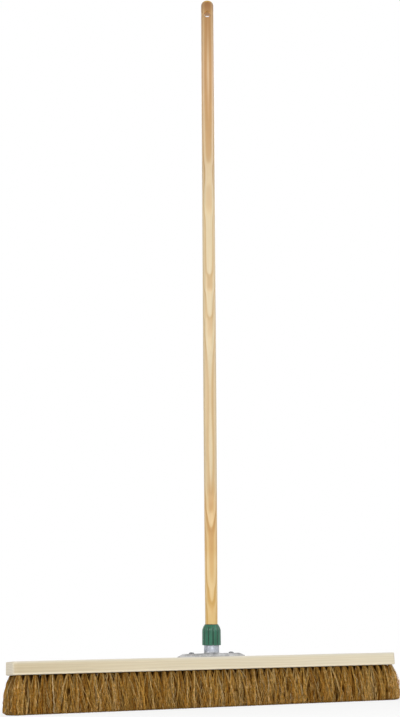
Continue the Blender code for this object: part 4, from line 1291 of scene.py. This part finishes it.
def slotted_screw(node):
    """A screw in a CAD screw's place: a domed head with a slot, and its shank and point.

    A chord at u runs from -w to w, with u squared plus w squared the head's radius squared. The
    dome's height is its edge plus the rest times the root of 1 - (r / R) squared, and inside the
    slot it is no higher than the slot's floor."""
    low, high = (np.array(corner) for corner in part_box(node))
    centre, seat = (low + high) / 2, high[2] - HEAD_HEIGHT
    u = np.sin(np.linspace(-np.pi / 2, -LAST_CHORD, SIDE_CHORDS - 1)) * HEAD_RADIUS
    u = np.concatenate([u, [-SLOT_WIDTH / 2, -SLOT_WIDTH / 2, 0]])
    u = np.concatenate([u, -u[-2::-1]])
    in_slot = np.zeros(len(u), bool)
    in_slot[SIDE_CHORDS:-SIDE_CHORDS] = True
    w = np.sqrt(np.clip(HEAD_RADIUS**2 - u**2, 0, None))
    v = w[:, None] * np.linspace(-1, 1, CHORD_POINTS)
    r = np.sqrt(u[:, None] ** 2 + v**2) / HEAD_RADIUS
    dome = HEAD_EDGE + (HEAD_HEIGHT - HEAD_EDGE) * np.sqrt(np.clip(1 - r**2, 0, 1))
    rise = np.where(in_slot[:, None], np.minimum(dome, HEAD_HEIGHT - SLOT_DEPTH), dome)
    head = np.stack([v, u[:, None] + 0 * v, seat + rise], axis=-1)
    rim = np.concatenate([head[:, 0, :2], head[::-1, -1, :2]])
    shank = rim / HEAD_RADIUS * SHANK_RADIUS
    levels = [
        (rim, seat + HEAD_EDGE),
        (rim, seat),
        (shank, seat),
        (shank, low[2] + POINT_LENGTH),
        (POINT_WIDTH * shank, low[2]),
    ]
    wall = np.stack([np.column_stack([ring, np.full(len(ring), z)]) for ring, z in levels])
    points = np.concatenate([head.reshape(-1, 3), wall.reshape(-1, 3)])
    points = turned(points, SLOT_TURN) + [centre[0], centre[1], 0]
    first = head.size // 3
    tip = first + (len(levels) - 1) * len(rim) + np.arange(len(rim))
    mesh = mesh_of(
        "slotted_" + node,
        points,
        grid_quads(len(u), CHORD_POINTS, closed=False),
        grid_quads(len(levels), len(rim), first=first),
        tip[None],
    )
    return softened(welded(mesh), degrees=40)


# %% Zinc-plated steel
# Steel with an old zinc plate: a dull blue-grey, blotched where the passivation has worn.
zinc, tree, shader = new_material("dull_zinc_plated_steel", {"Metallic": 1.0})
place = add(tree, "TexCoord", output="Object")
blotch = add(tree, "TexNoise", {"Vector": place, "Scale": 1 / (1.6 * MM), "Detail": 4.0})
grey = add(tree, "ValToRGB", {"Fac": blotch}, stops=[(0.35, "46484C"), (0.65, "64666A")])
tree.links.new(grey, shader.inputs["Base Color"])
matt = add(
    tree,
    "MapRange",
    {"Value": blotch, "From Min": 0.3, "From Max": 0.7, "To Min": 0.5, "To Max": 0.32},
)
tree.links.new(matt, shader.inputs["Roughness"])

for side in ("left", "right"):
    node = "flange_screw_" + side
    piece("slotted_" + node, slotted_screw(node), zinc, "head", "screw_steel", node)

# %% [markdown]
# ## The collet
#
# Between the tube and the collar sits a split ring of nylon, which the collar squeezes on to the
# handle. It is hidden by the collar in every pose, and the CAD's own ring has the right shape,
# so the ring is kept and only gets the finish of natural nylon.

# %% Natural nylon
# Unpigmented nylon, moulded: a cream, slightly translucent plastic with a low gloss.
nylon, tree, shader = new_material(
    "moulded_natural_nylon",
    {"Roughness": 0.4, "IOR": 1.53, "Subsurface Weight": 0.15, "Subsurface Scale": 2 * MM},
)
place = add(tree, "TexCoord", output="Object")
cloud = add(tree, "TexNoise", {"Vector": place, "Scale": 1 / (3 * MM), "Detail": 2.0})
cream = add(tree, "ValToRGB", {"Fac": cloud}, stops=[(0.3, "DDD6C2"), (0.7, "E8E3D3")])
tree.links.new(cream, shader.inputs["Base Color"])
slots = frame["nodes"]["clamp_collet"].material_slots
for slot in slots:
    slot.material = nylon
print("the collet keeps its CAD shape, with", len(slots), "slot")
